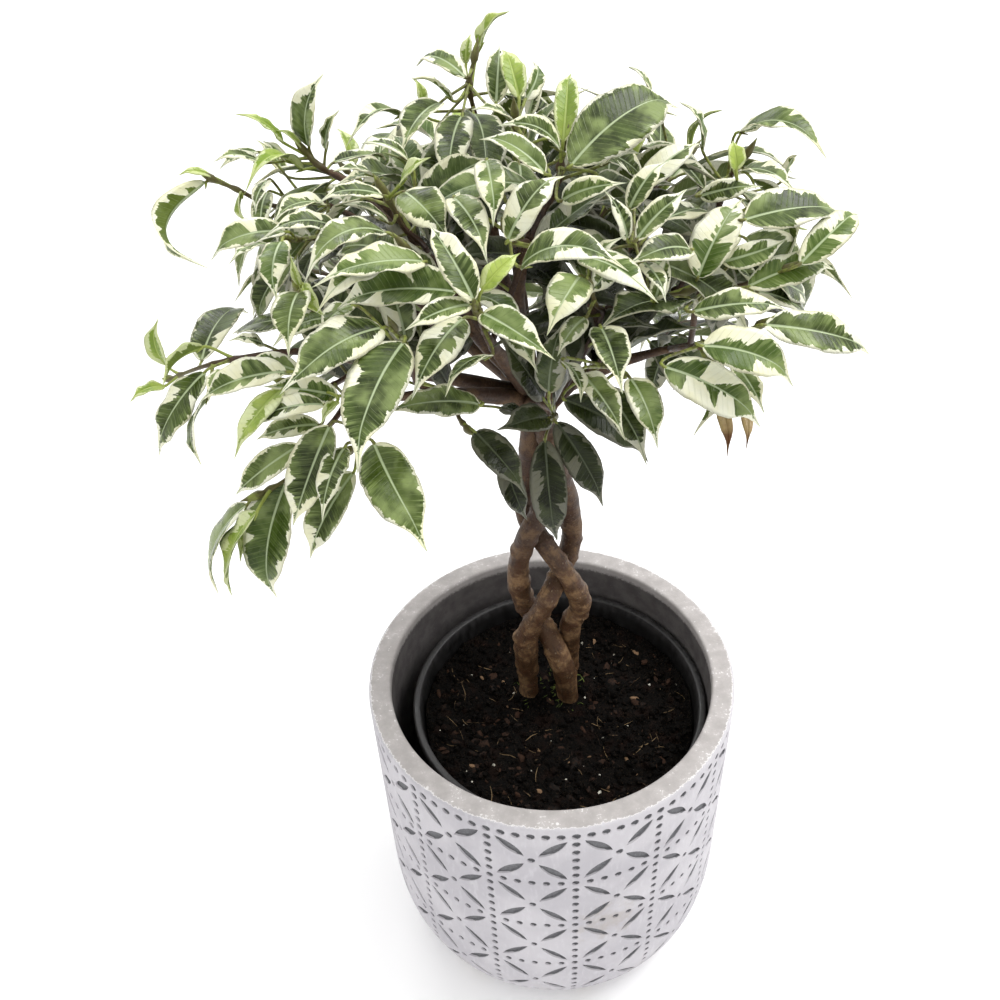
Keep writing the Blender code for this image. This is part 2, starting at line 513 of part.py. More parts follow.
# Sprays that the photograph shows: the twig's pixels, each with its share of the dome, the
# leaves that show, and how many more grow between them
SEEN_SPRAYS = {
    "left_tip": Spray(
        ((288, 352, 0.7), (240, 358, 0.78), (205, 366, 0.84), (172, 378, 0.88)),
        (
            seen((168, 366), (155, 318), young=True, wide=1.2),
            seen((165, 386), (129, 401), young=True, wide=1.3),
            seen((205, 372), (157, 457), wide=1.15),
            seen((207, 398), (197, 463), roll=45),
            seen((203, 347), (162, 384), roll=60, young=True),
            seen((264, 345), (228, 338), share=0.75),
        ),
        0,
    ),
    "left_mid": Spray(
        ((345, 378, 0.6), (322, 388, 0.72), (292, 384, 0.8)),
        (
            seen((287, 372), (198, 403)),
            seen((282, 390), (231, 456), young=True, wide=0.9),
            seen((325, 405), (243, 432)),
            seen((338, 396), (262, 388), share=0.78),
            seen((320, 425), (255, 441), share=0.75),
            seen((337, 402), (320, 424), young=True),
        ),
        0,
    ),
    "low_left": Spray(
        ((340, 412, 0.6), (316, 440, 0.72), (290, 476, 0.84), (264, 492, 0.9)),
        (
            seen((300, 445), (233, 497)),
            seen((286, 483), (273, 601), wide=1.1),
            seen((247, 505), (213, 599), roll=50, share=0.92),
            seen((257, 512), (232, 599), young=True, roll=45, share=0.94),
            seen((261, 518), (238, 562), young=True),
        ),
        0,
    ),
    "low_mid": Spray(
        ((385, 402, 0.52), (372, 425, 0.66), (352, 448, 0.8)),
        (
            seen((330, 425), (293, 529), wide=1.1),
            seen((345, 447), (322, 521)),
            seen((354, 472), (309, 561), share=0.8),
            seen((374, 443), (431, 550), wide=1.2),
        ),
        0,
    ),
    "front_left": Spray(
        ((418, 384, 0.5), (412, 358, 0.68), (396, 332, 0.82)),
        (
            seen((382, 328), (282, 397), wide=1.25, share=0.9),
            seen((404, 342), (350, 473), wide=1.15, share=0.92),
            seen((480, 405), (384, 412), share=0.6),
        ),
        0,
    ),
    "left_hook": Spray(
        ((330, 206, 0.6), (275, 206, 0.74), (238, 190, 0.86), (217, 181, 0.92)),
        (
            seen((206, 182), (203, 271), roll=80, arch=0.34, share=0.93, wide=0.75),
            seen((212, 177), (178, 173), young=True, share=0.93),
            seen((242, 192), (246, 224), young=True, roll=50),
            seen((268, 192), (262, 240), share=0.78),
        ),
        0,
    ),
    "left_upper": Spray(
        ((345, 232, 0.62), (315, 238, 0.74), (290, 240, 0.84)),
        (
            seen((286, 232), (207, 258), wide=1.1, share=0.88),
            seen((340, 231), (262, 236), arch=0.2, share=0.9),
            seen((326, 205), (271, 219), share=0.84),
            seen((282, 241), (273, 300), wide=1.2, share=0.92),
            seen((272, 246), (228, 262), share=0.8),
        ),
        0,
    ),
    "upper_left_tip": Spray(
        ((355, 186, 0.68), (335, 176, 0.76), (318, 165, 0.82), (308, 155, 0.86)),
        (
            seen((309, 147), (322, 73), wide=1.35, share=0.9),
            seen((284, 143), (235, 112), young=True, wide=0.8),
            seen((303, 150), (275, 128), young=True, wide=0.7),
            seen((262, 163), (213, 158), share=0.82),
            seen((286, 161), (262, 141), share=0.8),
            seen((326, 150), (339, 108), share=0.8),
            seen((302, 170), (241, 192), young=True, arch=0.3, wide=0.8),
        ),
        0,
    ),
    "upper_mid_left": Spray(
        ((424, 246, 0.64), (404, 228, 0.74), (393, 208, 0.82), (386, 197, 0.86)),
        (
            seen((383, 196), (317, 199), share=0.92),
            seen((401, 184), (430, 158), share=0.92, young=True, wide=1.3),
            seen((389, 223), (343, 203), share=0.85, roll=30),
            seen((404, 192), (450, 240), share=0.86, wide=1.5),
            seen((372, 175), (333, 172), share=0.8),
        ),
        2,
    ),
    "centre_left": Spray(
        ((452, 290, 0.66), (432, 272, 0.78), (410, 252, 0.86)),
        (
            seen((386, 233), (301, 278), arch=0.25, share=0.9),
            seen((424, 262), (310, 283), share=0.9),
            seen((400, 262), (317, 309), roll=45, share=0.95),
            seen((456, 292), (332, 306), wide=1.15, share=0.84),
        ),
        2,
    ),
    "left_buds": Spray(
        ((335, 330, 0.66), (315, 312, 0.78), (302, 296, 0.86)),
        (
            seen((299, 292), (289, 352), wide=1.4, share=0.92),
            seen((300, 285), (291, 254), young=True, share=0.92, wide=0.7),
            seen((303, 284), (326, 319), young=True, share=0.92, wide=0.9),
            seen((330, 318), (270, 345), share=0.75),
        ),
        0,
    ),
    "front_shoot": Spray(
        ((483, 327, 0.72), (480, 318, 0.82), (477, 309, 0.92)),
        (
            seen((474, 301), (425, 222), share=0.97),
            seen((471, 305), (405, 331), share=0.95),
            seen((482, 313), (554, 359), share=0.95, wide=1.1),
            seen((482, 291), (522, 252), share=0.97, young=True, wide=1.2),
            seen((464, 318), (412, 399), share=0.84, wide=1.1),
            seen((492, 355), (442, 393), share=0.7, roll=40),
        ),
        0,
    ),
    "trunk_front": Spray(
        ((553, 411, 0.36), (554, 414, 0.42), (554, 417, 0.48)),
        (
            seen((549, 418), (497, 432), share=0.52, wide=1.5),
            seen((556, 422), (605, 506), share=0.5),
            seen((545, 440), (556, 544), share=0.52, wide=0.95),
            seen((549, 393), (563, 318), share=0.6, wide=1.1),
        ),
        0,
    ),
    "under_left": Spray(
        ((462, 402, 0.4), (458, 415, 0.46), (465, 426, 0.5)),
        (
            seen((475, 432), (530, 495), share=0.54, wide=1.1),
            seen((500, 408), (530, 420), share=0.4),
            seen((503, 458), (527, 522), share=0.45),
        ),
        0,
    ),
    "top_left": Spray(
        ((480, 132, 0.76), (474, 110, 0.84), (469, 86, 0.92), (473, 64, 0.98)),
        (
            seen((479, 50), (507, 8), young=True, wide=1.2, share=1.0),
            seen((466, 78), (414, 62), arch=0.2, share=0.95),
            seen((466, 64), (471, 33), young=True, share=0.98, wide=1.2),
            seen((496, 104), (500, 44), share=0.92),
            seen((453, 101), (412, 75), share=0.9, roll=30),
            seen((422, 112), (414, 76), share=0.88, young=True),
            seen((440, 103), (401, 152), share=0.9, wide=1.2),
            seen((462, 116), (449, 197), share=0.86),
        ),
        1,
    ),
    "top_mid": Spray(
        ((524, 180, 0.7), (518, 150, 0.8), (515, 118, 0.92)),
        (
            seen((519, 98), (504, 47), share=0.95, young=True, wide=1.1),
            seen((525, 100), (537, 60), share=0.93, roll=40),
            seen((528, 118), (541, 76), share=0.88),
            seen((513, 122), (472, 108), share=0.88),
            seen((560, 150), (497, 126), arch=0.2, share=0.92),
            seen((545, 174), (478, 136), share=0.94),
        ),
        1,
    ),
    "top_right": Spray(
        ((556, 186, 0.76), (560, 168, 0.84), (564, 150, 0.9)),
        (
            seen((563, 142), (568, 69), share=0.94, young=True, wide=0.8),
            seen((571, 166), (683, 96), share=0.93, wide=1.2),
            seen((560, 149), (544, 113), share=0.88),
            seen((578, 150), (602, 102), share=0.84),
            seen((603, 165), (639, 152), share=0.85, wide=1.3),
            seen((562, 201), (627, 184), share=0.9, roll=30),
        ),
        1,
    ),
    "upper_centre": Spray(
        ((526, 250, 0.66), (514, 244, 0.78), (507, 232, 0.86)),
        (
            seen((508, 241), (563, 171), arch=0.2, share=0.92, wide=1.2),
            seen((521, 267), (629, 268), arch=0.28, share=0.92, wide=1.1),
            seen((578, 257), (656, 302), share=0.84),
            seen((486, 160), (497, 226), share=0.92),
            seen((453, 198), (491, 261), share=0.84),
        ),
        1,
    ),
    "right_mid_up": Spray(
        ((645, 262, 0.62), (636, 248, 0.74), (630, 226, 0.84)),
        (
            seen((629, 210), (667, 159), share=0.9, wide=1.1),
            seen((640, 190), (703, 143), share=0.82),
            seen((637, 240), (690, 191), share=0.92),
            seen((627, 240), (605, 189), share=0.86),
            seen((691, 250), (627, 268), share=0.86, wide=1.2),
            seen((655, 300), (668, 250), share=0.7),
            seen((642, 263), (668, 299), share=0.84),
        ),
        1,
    ),
    "right_top": Spray(
        ((724, 188, 0.76), (732, 174, 0.82), (744, 158, 0.88)),
        (
            seen((739, 132), (829, 158), arch=0.25, wide=1.2, share=0.92),
            seen((736, 170), (732, 140), young=True, wide=1.8, share=0.95),
            seen((742, 171), (798, 191), share=0.88),
            seen((744, 131), (783, 115), share=0.85, roll=30),
            seen((703, 152), (683, 98), share=0.8, roll=30),
            seen((700, 196), (762, 184), share=0.82, roll=35),
        ),
        0,
    ),
    "right_a": Spray(
        ((713, 240, 0.68), (722, 228, 0.78), (736, 218, 0.86)),
        (
            seen((744, 220), (846, 212), wide=1.3, share=0.92),
            seen((722, 262), (790, 239), share=0.84, roll=30),
            seen((698, 278), (744, 196), share=0.8, wide=1.3),
        ),
        2,
    ),
    "right_b": Spray(
        ((702, 290, 0.66), (738, 286, 0.78), (778, 272, 0.88)),
        (
            seen((748, 287), (838, 264), share=0.84),
            seen((693, 312), (788, 307), arch=0.15, share=0.84),
            seen((800, 264), (862, 206), share=0.95),
            seen((735, 265), (757, 292), share=0.78),
            seen((690, 308), (601, 328), share=0.7, wide=1.6),
        ),
        0,
    ),
    "right_tip": Spray(
        ((696, 346, 0.66), (726, 338, 0.78), (755, 327, 0.88)),
        (
            seen((764, 325), (875, 352), share=0.93),
            seen((702, 346), (799, 381), share=0.88, wide=1.35),
            seen((664, 367), (764, 424), share=0.78, wide=1.25),
            seen((732, 362), (765, 413), share=0.74),
            seen((718, 396), (731, 456), share=0.7, wide=0.6),
            seen((741, 402), (747, 449), share=0.7, wide=0.6),
        ),
        0,
    ),
    "right_under": Spray(
        ((600, 362, 0.44), (612, 368, 0.56), (622, 374, 0.66)),
        (
            seen((564, 400), (653, 457), share=0.56),
            seen((582, 374), (627, 439), share=0.7),
            seen((603, 386), (650, 464), share=0.64),
            seen((630, 378), (658, 447), share=0.72, wide=1.2),
            seen((601, 328), (622, 390), share=0.78, wide=1.3),
            seen((562, 362), (583, 402), share=0.7),
        ),
        0,
    ),
    "centre_right": Spray(
        ((600, 322, 0.5), (596, 305, 0.66), (590, 288, 0.78)),
        (
            seen((580, 276), (545, 333), share=0.84, wide=1.4),
            seen((590, 268), (622, 236), share=0.8),
        ),
        0,
    ),
}

# Sprays that the photograph hides, in rows round the dome. Each row has its height on the dome
# in degrees, the bearings of its first and last twig, how many twigs it has, the share of the
# dome that they reach and how many leaves each carries.
HIDDEN_ROWS = (
    (-12.0, 42.0, 135.0, 4, 0.84, 6),
    (16.0, 30.0, 142.0, 5, 0.84, 6),
    (46.0, 40.0, 136.0, 4, 0.84, 6),
    (50.0, -150.0, -30.0, 2, 0.6, 7),
    (66.0, 30.0, 150.0, 3, 0.7, 5),
)
HIDDEN_TWIG_SHARES = (0.6, 0.8, 1.0)
HIDDEN_TWIG_DROOP = 5.0
INNER_ROW = 4


def turned_about(vector, axis, degrees):
    """A vector turned about an axis that is square to it."""
    angle = math.radians(degrees)
    return vector * math.cos(angle) + np.cross(axis, vector) * math.sin(angle)


def outward(point):
    """Direction square to the dome at a point."""
    return unit((point - CROWN_CENTRE) / CROWN_RADII**2)


def dome_share(point):
    """Share of the dome's size at which a point lies."""
    return np.linalg.norm((point - CROWN_CENTRE) / CROWN_RADII)


def leaf_between(base, tip, root, face, roll, arch, wide, young):
    """Leaf from its blade's two ends and its petiole's root, facing as nearly as it can one way
    and then rolled about its length."""
    length = np.linalg.norm(tip - base)
    axis = (tip - base) / length
    normal = turned_about(unit(face - (face @ axis) * axis), axis, roll)
    width = length * LEAF_WIDTH_SHARE * wide
    return Leaf(base, axis, np.cross(normal, axis), normal, length, width, arch, root, young)


def blade_outline(share):
    """Half width of a blade along its length, widest near 0.4, with a drawn-out tip."""
    body = math.sin(math.pi * min(share / 0.92, 1.0) ** 0.84) ** 0.9
    return max(body, 0.12 * (1 - share))


def swung(vector, before, after):
    """A vector carried along by the shortest turn from one direction to another."""
    both = before + after
    return vector - both * (both @ vector) / (1 + before @ after) + 2 * (before @ vector) * after


def leaf_solid(leaf, grow=0.0, stalked=True):
    """Closed solid of a petiole and its arched blade, or of the blade alone, three-sided all
    along: two margins raised a little over a keel under the midrib."""
    way = unit(leaf.base - leaf.root)
    stalk = PETIOLE_RADIUS + grow / 2
    sections = []
    for centre, tangent in ((leaf.root, way), (leaf.base, unit(way + leaf.axis))):
        sections.append((centre, tangent, swung(leaf.side, leaf.axis, tangent), stalk, stalk))
    for share in LEAF_STATIONS:
        slope = 4 * (1 - 2 * share) * leaf.arch
        rise = leaf.normal * 4 * share * (1 - share) * leaf.arch
        centre = leaf.base + leaf.length * (leaf.axis * share + rise)
        half = max(leaf.width / 2 * blade_outline(share), PETIOLE_RADIUS)
        keel = KEEL_DEPTH[0] + (KEEL_DEPTH[1] - KEEL_DEPTH[0]) * share
        sections.append((centre, unit(leaf.axis + leaf.normal * slope), leaf.side, half, keel))
    points = []
    for centre, tangent, side, half, keel in sections if stalked else sections[1:]:
        normal = np.cross(tangent, side)
        margin = centre + normal * (LEAF_FOLD * half + grow)
        points += [margin + side * (half + grow), margin - side * (half + grow)]
        points.append(centre - normal * (keel + grow))
    points.append(leaf.base + leaf.axis * (leaf.length + grow))
    tip = len(points) - 1
    faces = ring_faces(tip // 3, 3)[:-1]
    faces += [(tip - 3 + k, tip - 3 + (k + 1) % 3, tip) for k in range(3)]
    return np.array(points), faces


class Thicket:
    """The solids placed so far, each with its owner, to keep new ones clear of them."""

    def __init__(self):
        self.middles, self.reaches, self.trees, self.owners = [], [], [], []

    def add(self, solid, owner):
        points, faces = solid
        low, high = points.min(axis=0), points.max(axis=0)
        self.middles.append((low + high) / 2)
        self.reaches.append(np.linalg.norm(high - low) / 2)
        self.trees.append(BVHTree.FromPolygons(points.tolist(), faces))
        self.owners.append(owner)

    def met_by(self, solid):
        """Owners of the solids that this one crosses."""
        points, faces = solid
        low, high = points.min(axis=0), points.max(axis=0)
        gaps = np.linalg.norm(np.array(self.middles) - (low + high) / 2, axis=1)
        near = np.flatnonzero(gaps < np.array(self.reaches) + np.linalg.norm(high - low) / 2)
        tree = BVHTree.FromPolygons(points.tolist(), faces)
        return {self.owners[k] for k in near if self.trees[k].overlap(tree)}


def first_clear(candidates, thicket, owner):
    """The first leaf clear of other sprays whose blade also crosses no blade of its own spray,
    or else the first that is clear of other sprays."""
    second = None
    for leaf in candidates:
        if thicket.met_by(leaf_solid(leaf, CLEARANCE)) <= {owner, owner + BLADE}:
            if owner + BLADE not in thicket.met_by(leaf_solid(leaf, stalked=False)):
                return leaf
            second = second or leaf
    return second


def seen_candidates(leaf, twig):
    """Places for a leaf that the photograph shows: where its pixels put it, and then nearer or
    further along the line of sight, and rolled either way. Its petiole springs from the spot
    on the twig that it reaches with the least length and bend."""
    base = on_dome(leaf["base"], leaf["share"])
    base_sight = sight(leaf["base"])
    for push, roll in product(SEEN_PUSHES, SEEN_ROLLS):
        start = base + base_sight * push
        flat = np.linalg.norm(at_distance(leaf["tip"], start, 0.0, start) - start)
        goal = on_dome(leaf["tip"], min(leaf["share"] + SEEN_TIP_RISE, 1.0)) + base_sight * push
        shortest, longest = SEEN_STRETCH
        length = min(max(np.linalg.norm(goal - start), shortest * flat), longest * flat)
        tip = at_distance(leaf["tip"], start, length, goal)
        aim = unit(tip - start)
        ways = start - twig
        reach = np.linalg.norm(ways - aim * PETIOLE_LENGTH, axis=1)
        bend = np.maximum(PETIOLE_BEND - ways @ aim / np.linalg.norm(ways, axis=1), 0.0)
        root = twig[np.argmin(reach + BEND_COST * bend)]
        face = unit(UP - FORWARD + outward(start) / 2)
        turn = leaf["roll"] + roll
        yield leaf_between(start, tip, root, face, turn, leaf["arch"], leaf["wide"], leaf["young"])


def grown_candidates(twig, place, hand, young, inner, random):
    """Places for a leaf that grows from a place on a twig, to its left or right hand. It points
    along the twig and away from it, droops, and faces up and out, and it strays further with
    each attempt. An inner one turns away from the viewpoint and stays well inside the dome."""
    spot = min(int(place * (len(twig) - 1)), len(twig) - 2)
    root, along = twig[spot], tangents_of(twig)[spot]
    across = unit(np.cross(along, UP)) * hand
    out = outward(root)
    aim = along * GROWN_ALONG + out * GROWN_OUT
    if young:
        aim = aim + across * YOUNG_ACROSS
    else:
        aim = aim + across * GROWN_ACROSS - UP * GROWN_DROOP
    if inner:
        aim = aim + FORWARD * INNER_TURN
    for attempt in range(GROWN_TRIES):
        stray = random.normal(size=3) * (GROWN_STRAY[0] + GROWN_STRAY[1] * attempt)
        way = unit(aim + stray)
        length = random.uniform(*(YOUNG_LENGTH if young else LEAF_LENGTH))
        stalk = PETIOLE_LENGTH * random.uniform(0.8, 1.3)
        start = root + unit(way + along / 2 + out / 3) * stalk
        tip = start + way * length
        face = UP + out + random.normal(size=3) / 2
        arch = LEAF_ARCH * random.uniform(0.3, 1.7)
        wide = random.uniform(0.88, 1.15)
        fits = dome_share(tip) < GROWN_SHARE
        if inner:
            fits = dome_share(tip) < INNER_SHARE and pixel_row(tip) < INNER_LOWEST_ROW
        if fits:
            yield leaf_between(start, tip, root, face, 0.0, arch, wide, young)


def hidden_twigs():
    """Twigs of the hidden rows, each with its number of leaves: each runs out towards the
    dome, and its end droops."""
    twigs = {}
    for row, (height, first, last, count, reach, leaves) in enumerate(HIDDEN_ROWS):
        rise = math.radians(height)
        for k, bearing in enumerate(np.radians(np.linspace(first, last, count))):
            level = math.cos(rise)
            ray = (math.cos(bearing) * level, math.sin(bearing) * level, math.sin(rise))
            full = CROWN_RADII * reach * ray
            ends = [CROWN_CENTRE + full * share for share in HIDDEN_TWIG_SHARES]
            ends[-1] = ends[-1] - UP * HIDDEN_TWIG_DROOP
            twigs[f"row{row + 1}_{k + 1}"] = ends, leaves
    return twigs


def grow_wood_and_twigs():
    """Closed solids of the wood, and each spray's twig as its route and its solid. The wood
    ends in a spur for each twig, which carries on from it after a small gap."""
    wood = []
    for route, foot in zip(STEM_ROUTES, STEM_FEET):
        low, top = (*foot, SOIL_LEVEL - STEM_SINK), (*foot, SOIL_LEVEL)
        points = smooth_route([top] + [at_depth(point, point[2]) for point in route], 2)
        wood.append(tube(np.vstack(([low], points)), STEM_RADII, STEM_SIDES))
    branches = []
    for route in BRANCH_ROUTES:
        branches.append(smooth_route([at_depth(point, point[2]) for point in route], 2))
        wood.append(tube(branches[-1], BRANCH_RADII, BRANCH_SIDES))
    forks = np.vstack(branches)
    head = at_depth(BRANCH_ROUTES[0][0], BRANCH_ROUTES[0][0][2])
    ends = {name: [on_dome(p, p[2]) for p in spray.twig] for name, spray in SEEN_SPRAYS.items()}
    ends.update({name: points for name, (points, leaves) in hidden_twigs().items()})
    twigs = {}
    for name, points in ends.items():
        wish = points[0] + FORK_SETBACK * (head - points[0])
        fork = forks[np.argmin(np.linalg.norm(forks - wish, axis=1))]
        route = smooth_route([fork] + points, 2)
        rings = rings_round(route, np.linspace(SPUR_RADIUS, TWIG_RADIUS, len(route)), TWIG_SIDES)
        wood.append(bar(rings[::2][:2]))
        start = rings[2:].copy()
        start[0] += tangents_of(route)[2] * GAP
        twigs[name] = route[2:], bar(start)
    return wood, twigs


def grow_leaves(wood, twigs):
    """Leaves of each spray, each clear of the wood and of every other spray."""
    random = np.random.default_rng(SEED)
    thicket = Thicket()
    for solid in wood:
        thicket.add(solid, "wood")
    for name, (route, solid) in twigs.items():
        thicket.add(solid, name)
    leaves = {name: [] for name in twigs}

    def place(name, candidates):
        leaf = first_clear(candidates, thicket, name)
        if leaf is not None:
            thicket.add(leaf_solid(leaf), name)
            thicket.add(leaf_solid(leaf, stalked=False), name + BLADE)
            leaves[name].append(leaf)

    for name, spray in SEEN_SPRAYS.items():
        dense = smooth_route(twigs[name][0], 4)[:-2]
        for leaf in spray.seen:
            place(name, seen_candidates(leaf, dense))
    hidden_leaves = {name: count for name, (points, count) in hidden_twigs().items()}
    for name, (route, solid) in twigs.items():
        hidden = name not in SEEN_SPRAYS
        count = hidden_leaves[name] if hidden else SEEN_SPRAYS[name].extra
        dense = smooth_route(route, 4)[:-2]
        for k in range(count):
            young = hidden and k == count - 1
            hand = 1 if k % 2 else -1
            inner = not hidden or name.startswith(f"row{INNER_ROW}")
            place(name, grown_candidates(dense, (k + 0.6) / count, hand, young, inner, random))
    return leaves


def build_tree():
    """Wood as one piece, and each spray as one piece of its twig, petioles and blades."""
    wood, twigs = grow_wood_and_twigs()
    leaves = grow_leaves(wood, twigs)
    bark = make_material("bark", (0.13, 0.085, 0.06), 0.8)
    foliage = make_material("variegated_leaf", (0.14, 0.2, 0.09), 0.4)
    shade_smooth(make_fused("trunk", wood, bark))
    for name, (route, solid) in twigs.items():
        solids = [solid] + [leaf_solid(leaf) for leaf in leaves[name]]
        make_fused("spray_" + name, solids, foliage)


def main():
    for thing in list(bpy.data.objects):
        bpy.data.objects.remove(thing)
    build_planter()
    build_nursery_pot()
    build_soil()
    build_tree()


if __name__ == "__main__":
    main()
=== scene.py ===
"""Potted weeping fig, dressed: finer pieces and procedural materials over the packed model.

The file is laid out as an add-on and run as a script. Lengths in it are millimetres, and
become metres where a mesh is made. The tree grows here by the same tables and rules as the
model's solids, so each leaf, twig and branch takes the place of its own solid.
"""

import math
from collections import namedtuple
from functools import cache
from itertools import product

import bpy
import numpy as np
from bpy.props import FloatProperty, FloatVectorProperty, IntProperty, PointerProperty
from mathutils import Matrix, Vector
from mathutils.bvhtree import BVHTree
from mathutils.geometry import delaunay_2d_cdt


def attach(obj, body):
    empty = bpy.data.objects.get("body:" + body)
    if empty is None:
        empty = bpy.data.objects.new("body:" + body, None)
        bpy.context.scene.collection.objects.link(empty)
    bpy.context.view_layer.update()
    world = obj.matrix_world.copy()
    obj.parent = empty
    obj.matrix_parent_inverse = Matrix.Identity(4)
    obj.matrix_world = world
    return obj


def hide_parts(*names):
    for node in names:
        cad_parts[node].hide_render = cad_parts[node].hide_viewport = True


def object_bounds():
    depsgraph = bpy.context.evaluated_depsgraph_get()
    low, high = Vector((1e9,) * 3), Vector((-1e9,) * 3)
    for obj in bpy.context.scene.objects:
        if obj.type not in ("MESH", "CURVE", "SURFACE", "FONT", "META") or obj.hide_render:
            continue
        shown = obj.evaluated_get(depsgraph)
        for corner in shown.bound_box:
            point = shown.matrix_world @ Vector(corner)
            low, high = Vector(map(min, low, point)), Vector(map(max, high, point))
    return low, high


bl_info = {
    "name": "Potted Weeping Fig",
    "version": (1, 0, 0),
    "blender": (4, 5, 0),
    "location": "3D View > Sidebar > Fig",
    "description": "A variegated weeping fig with a plaited trunk in a patterned cement pot",
    "category": "Add Mesh",
}

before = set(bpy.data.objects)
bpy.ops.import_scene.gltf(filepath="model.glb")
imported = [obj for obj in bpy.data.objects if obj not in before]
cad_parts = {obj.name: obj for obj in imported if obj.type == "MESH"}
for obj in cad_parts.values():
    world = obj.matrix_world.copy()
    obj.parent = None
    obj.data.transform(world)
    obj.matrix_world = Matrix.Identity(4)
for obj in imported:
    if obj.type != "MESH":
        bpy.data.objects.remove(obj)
CAD_BOX = [list(corner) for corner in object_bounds()]

MM = 0.001
SEED = 7
TAU = 2 * math.pi
UP = np.array((0.0, 0.0, 1.0))
BLADE = " blade"

# Cover pot, turned about +Z
POT_HEIGHT = 150.0
POT_RADIUS = 75.0
POT_WALL = 9.1
POT_EDGE = 1.5
POT_FOOT_RADIUS = 60.0
POT_FLOOR = 18.0
POT_STRAIGHT = 96.0
POT_BEND_POWER = 3.0
POT_INSIDE = ((148.5, 0.0), (120.0, 0.0), (80.0, 0.2), (54.0, 1.0), (28.0, 5.0), (18.6, 12.0))

# Pattern on the cover pot's side: cells round it and down it, and the places of dots and
# petals in a cell, in millimetres across and down from its corner dot
CELLS_ROUND = 14
CELLS_DOWN = 4
CELL_DROP = 31.4
CELL_STEPS = (12, 11)
PATTERN_TOP = 4.9
PATTERN_BEARING = -math.pi / 2 + math.radians(1.15)
TILE_CORNER = (-2.8, -2.6)
DOTS_ACROSS, DOTS_DOWN = 6, 6
PETAL_REACH = (3.6, 18.8)
PETAL_WIDENING, DOT_WIDENING, WIDENING_FADE = 0.6, 0.35, 35.0
RECESS_SLOPE = 0.35
# Recess value on walls facing away from the up-right light: painted shade, just short of the bare
# recess colour
SHADED_WALL = 0.5

# Nursery pot, which stands on the cover pot's floor
GAP = 0.3
NURSERY_CENTRE = (3.4, 0.0)
NURSERY_HEIGHT = 115.0
NURSERY_RIM_RADIUS = 61.5
NURSERY_FOOT_RADIUS = 45.0
NURSERY_WALL = 1.4
NURSERY_LIP = 1.6
NURSERY_LIP_HEIGHT = 4.0
DRAIN_COUNT = 4
DRAIN_RADIUS = 4.0
DRAIN_RING = 30.0

# Soil, which fills the nursery pot to a little under its rim
SOIL_LEVEL = 123.0
SOIL_SWELL = 1.1
STEM_SINK = 20.0

# How finely the pieces are cut
MERGE_GRAIN = 1e-4
DOT_SIDES = 10
PETAL_STEPS = 8
TILE_CLEARANCE = 1.25
NURSERY_SIDES = 96
SOIL_SIDES = 260
SOIL_RINGS = 80
STEM_STEPS = 16
BRANCH_STEPS = 9
TWIG_STEPS = 8
STEM_ROUND, BRANCH_ROUND, TWIG_ROUND = 36, 14, 8
STEM_SLIM = 0.91
BRANCH_SLIM, BRANCH_END = 0.85, 0.55
TWIG_SLIM = 0.62
# Shares of the dome: leaves further in than the first start to get painted shade, full at the
# second
DEEP_SHARES = (0.92, 0.5)
BLADE_ROWS = 24
BLADE_ACROSS = (-1.0, -0.78, -0.45, -0.12, 0.0, 0.12, 0.45, 0.78, 1.0)
VEIN_SLANT = 0.5
BUD_LENGTH = 7.0

# Leaves that fill the crown, and pixels at the tips of the dried leaves
FILLER_TRIES = 30
FILLER_LENGTH = (24.0, 38.0)
FILLER_GAP = 0.1
FILLER_ALONG, FILLER_OUT, FILLER_DROOP, FILLER_STRAY = 0.5, 0.35, 0.25, 0.55
FILLER_STALK = (4.5, 8.5)
FILLER_NEAR = 25.0
FILLER_NEAR_REACH, FILLER_FAR_REACH = 0.8, 0.9
FILLER_LOWEST_ROW = 352.0
DRY_TIPS = ((731, 456), (747, 449))
DRY_NEAR = 5.0

# Middle of the faint stain on the pot's side, its height shrunk as in the material
STAIN_PLACE = (15.0, -73.1, 64.4)

# Knots on the stems, by pixel across, pixel down and depth, with their height and breadth
KNOTS = (
    ((517, 636, 6), 1.6, 2.4),
    ((581, 603, 7), 2.0, 2.2),
    ((527, 600, 10), 1.0, 2.0),
    ((556, 619, 10), 1.4, 2.4),
    ((534, 670, 9), 1.2, 2.4),
)
HEAD_RADII = (7.5, 6.5, 9.0)

SENSOR = 36.0
FLOOR_HALF = 3000.0

# Viewpoint of the photograph
EYE = np.array((-28.3, -291.3, 492.2))
AIM_ELEVATION = math.radians(-40.4)
AIM_AZIMUTH = math.radians(2.2)
AIM_ROLL = math.radians(-2.9)
FOCAL_PIXELS = 1078.0
PICTURE_MIDDLE = 500.0

# Dome that the crown's leaves fill
CROWN_CENTRE = np.array((-5.0, 5.0, 292.0))
CROWN_RADII = np.array((128.0, 112.0, 98.0))

# Leaves and the twigs that carry them, as the model's solids have them
LEAF_LENGTH = (30.0, 44.0)
YOUNG_LENGTH = (14.0, 24.0)
LEAF_WIDTH_SHARE = 0.355
LEAF_STATIONS = (0.33, 0.78)
LEAF_FOLD = 0.12
LEAF_ARCH = 0.13
KEEL_DEPTH = (1.1, 0.6)
PETIOLE_LENGTH = 8.0
PETIOLE_RADIUS = 0.65
TWIG_RADIUS = 0.85
TWIG_SIDES = 4
CLEARANCE = 0.45

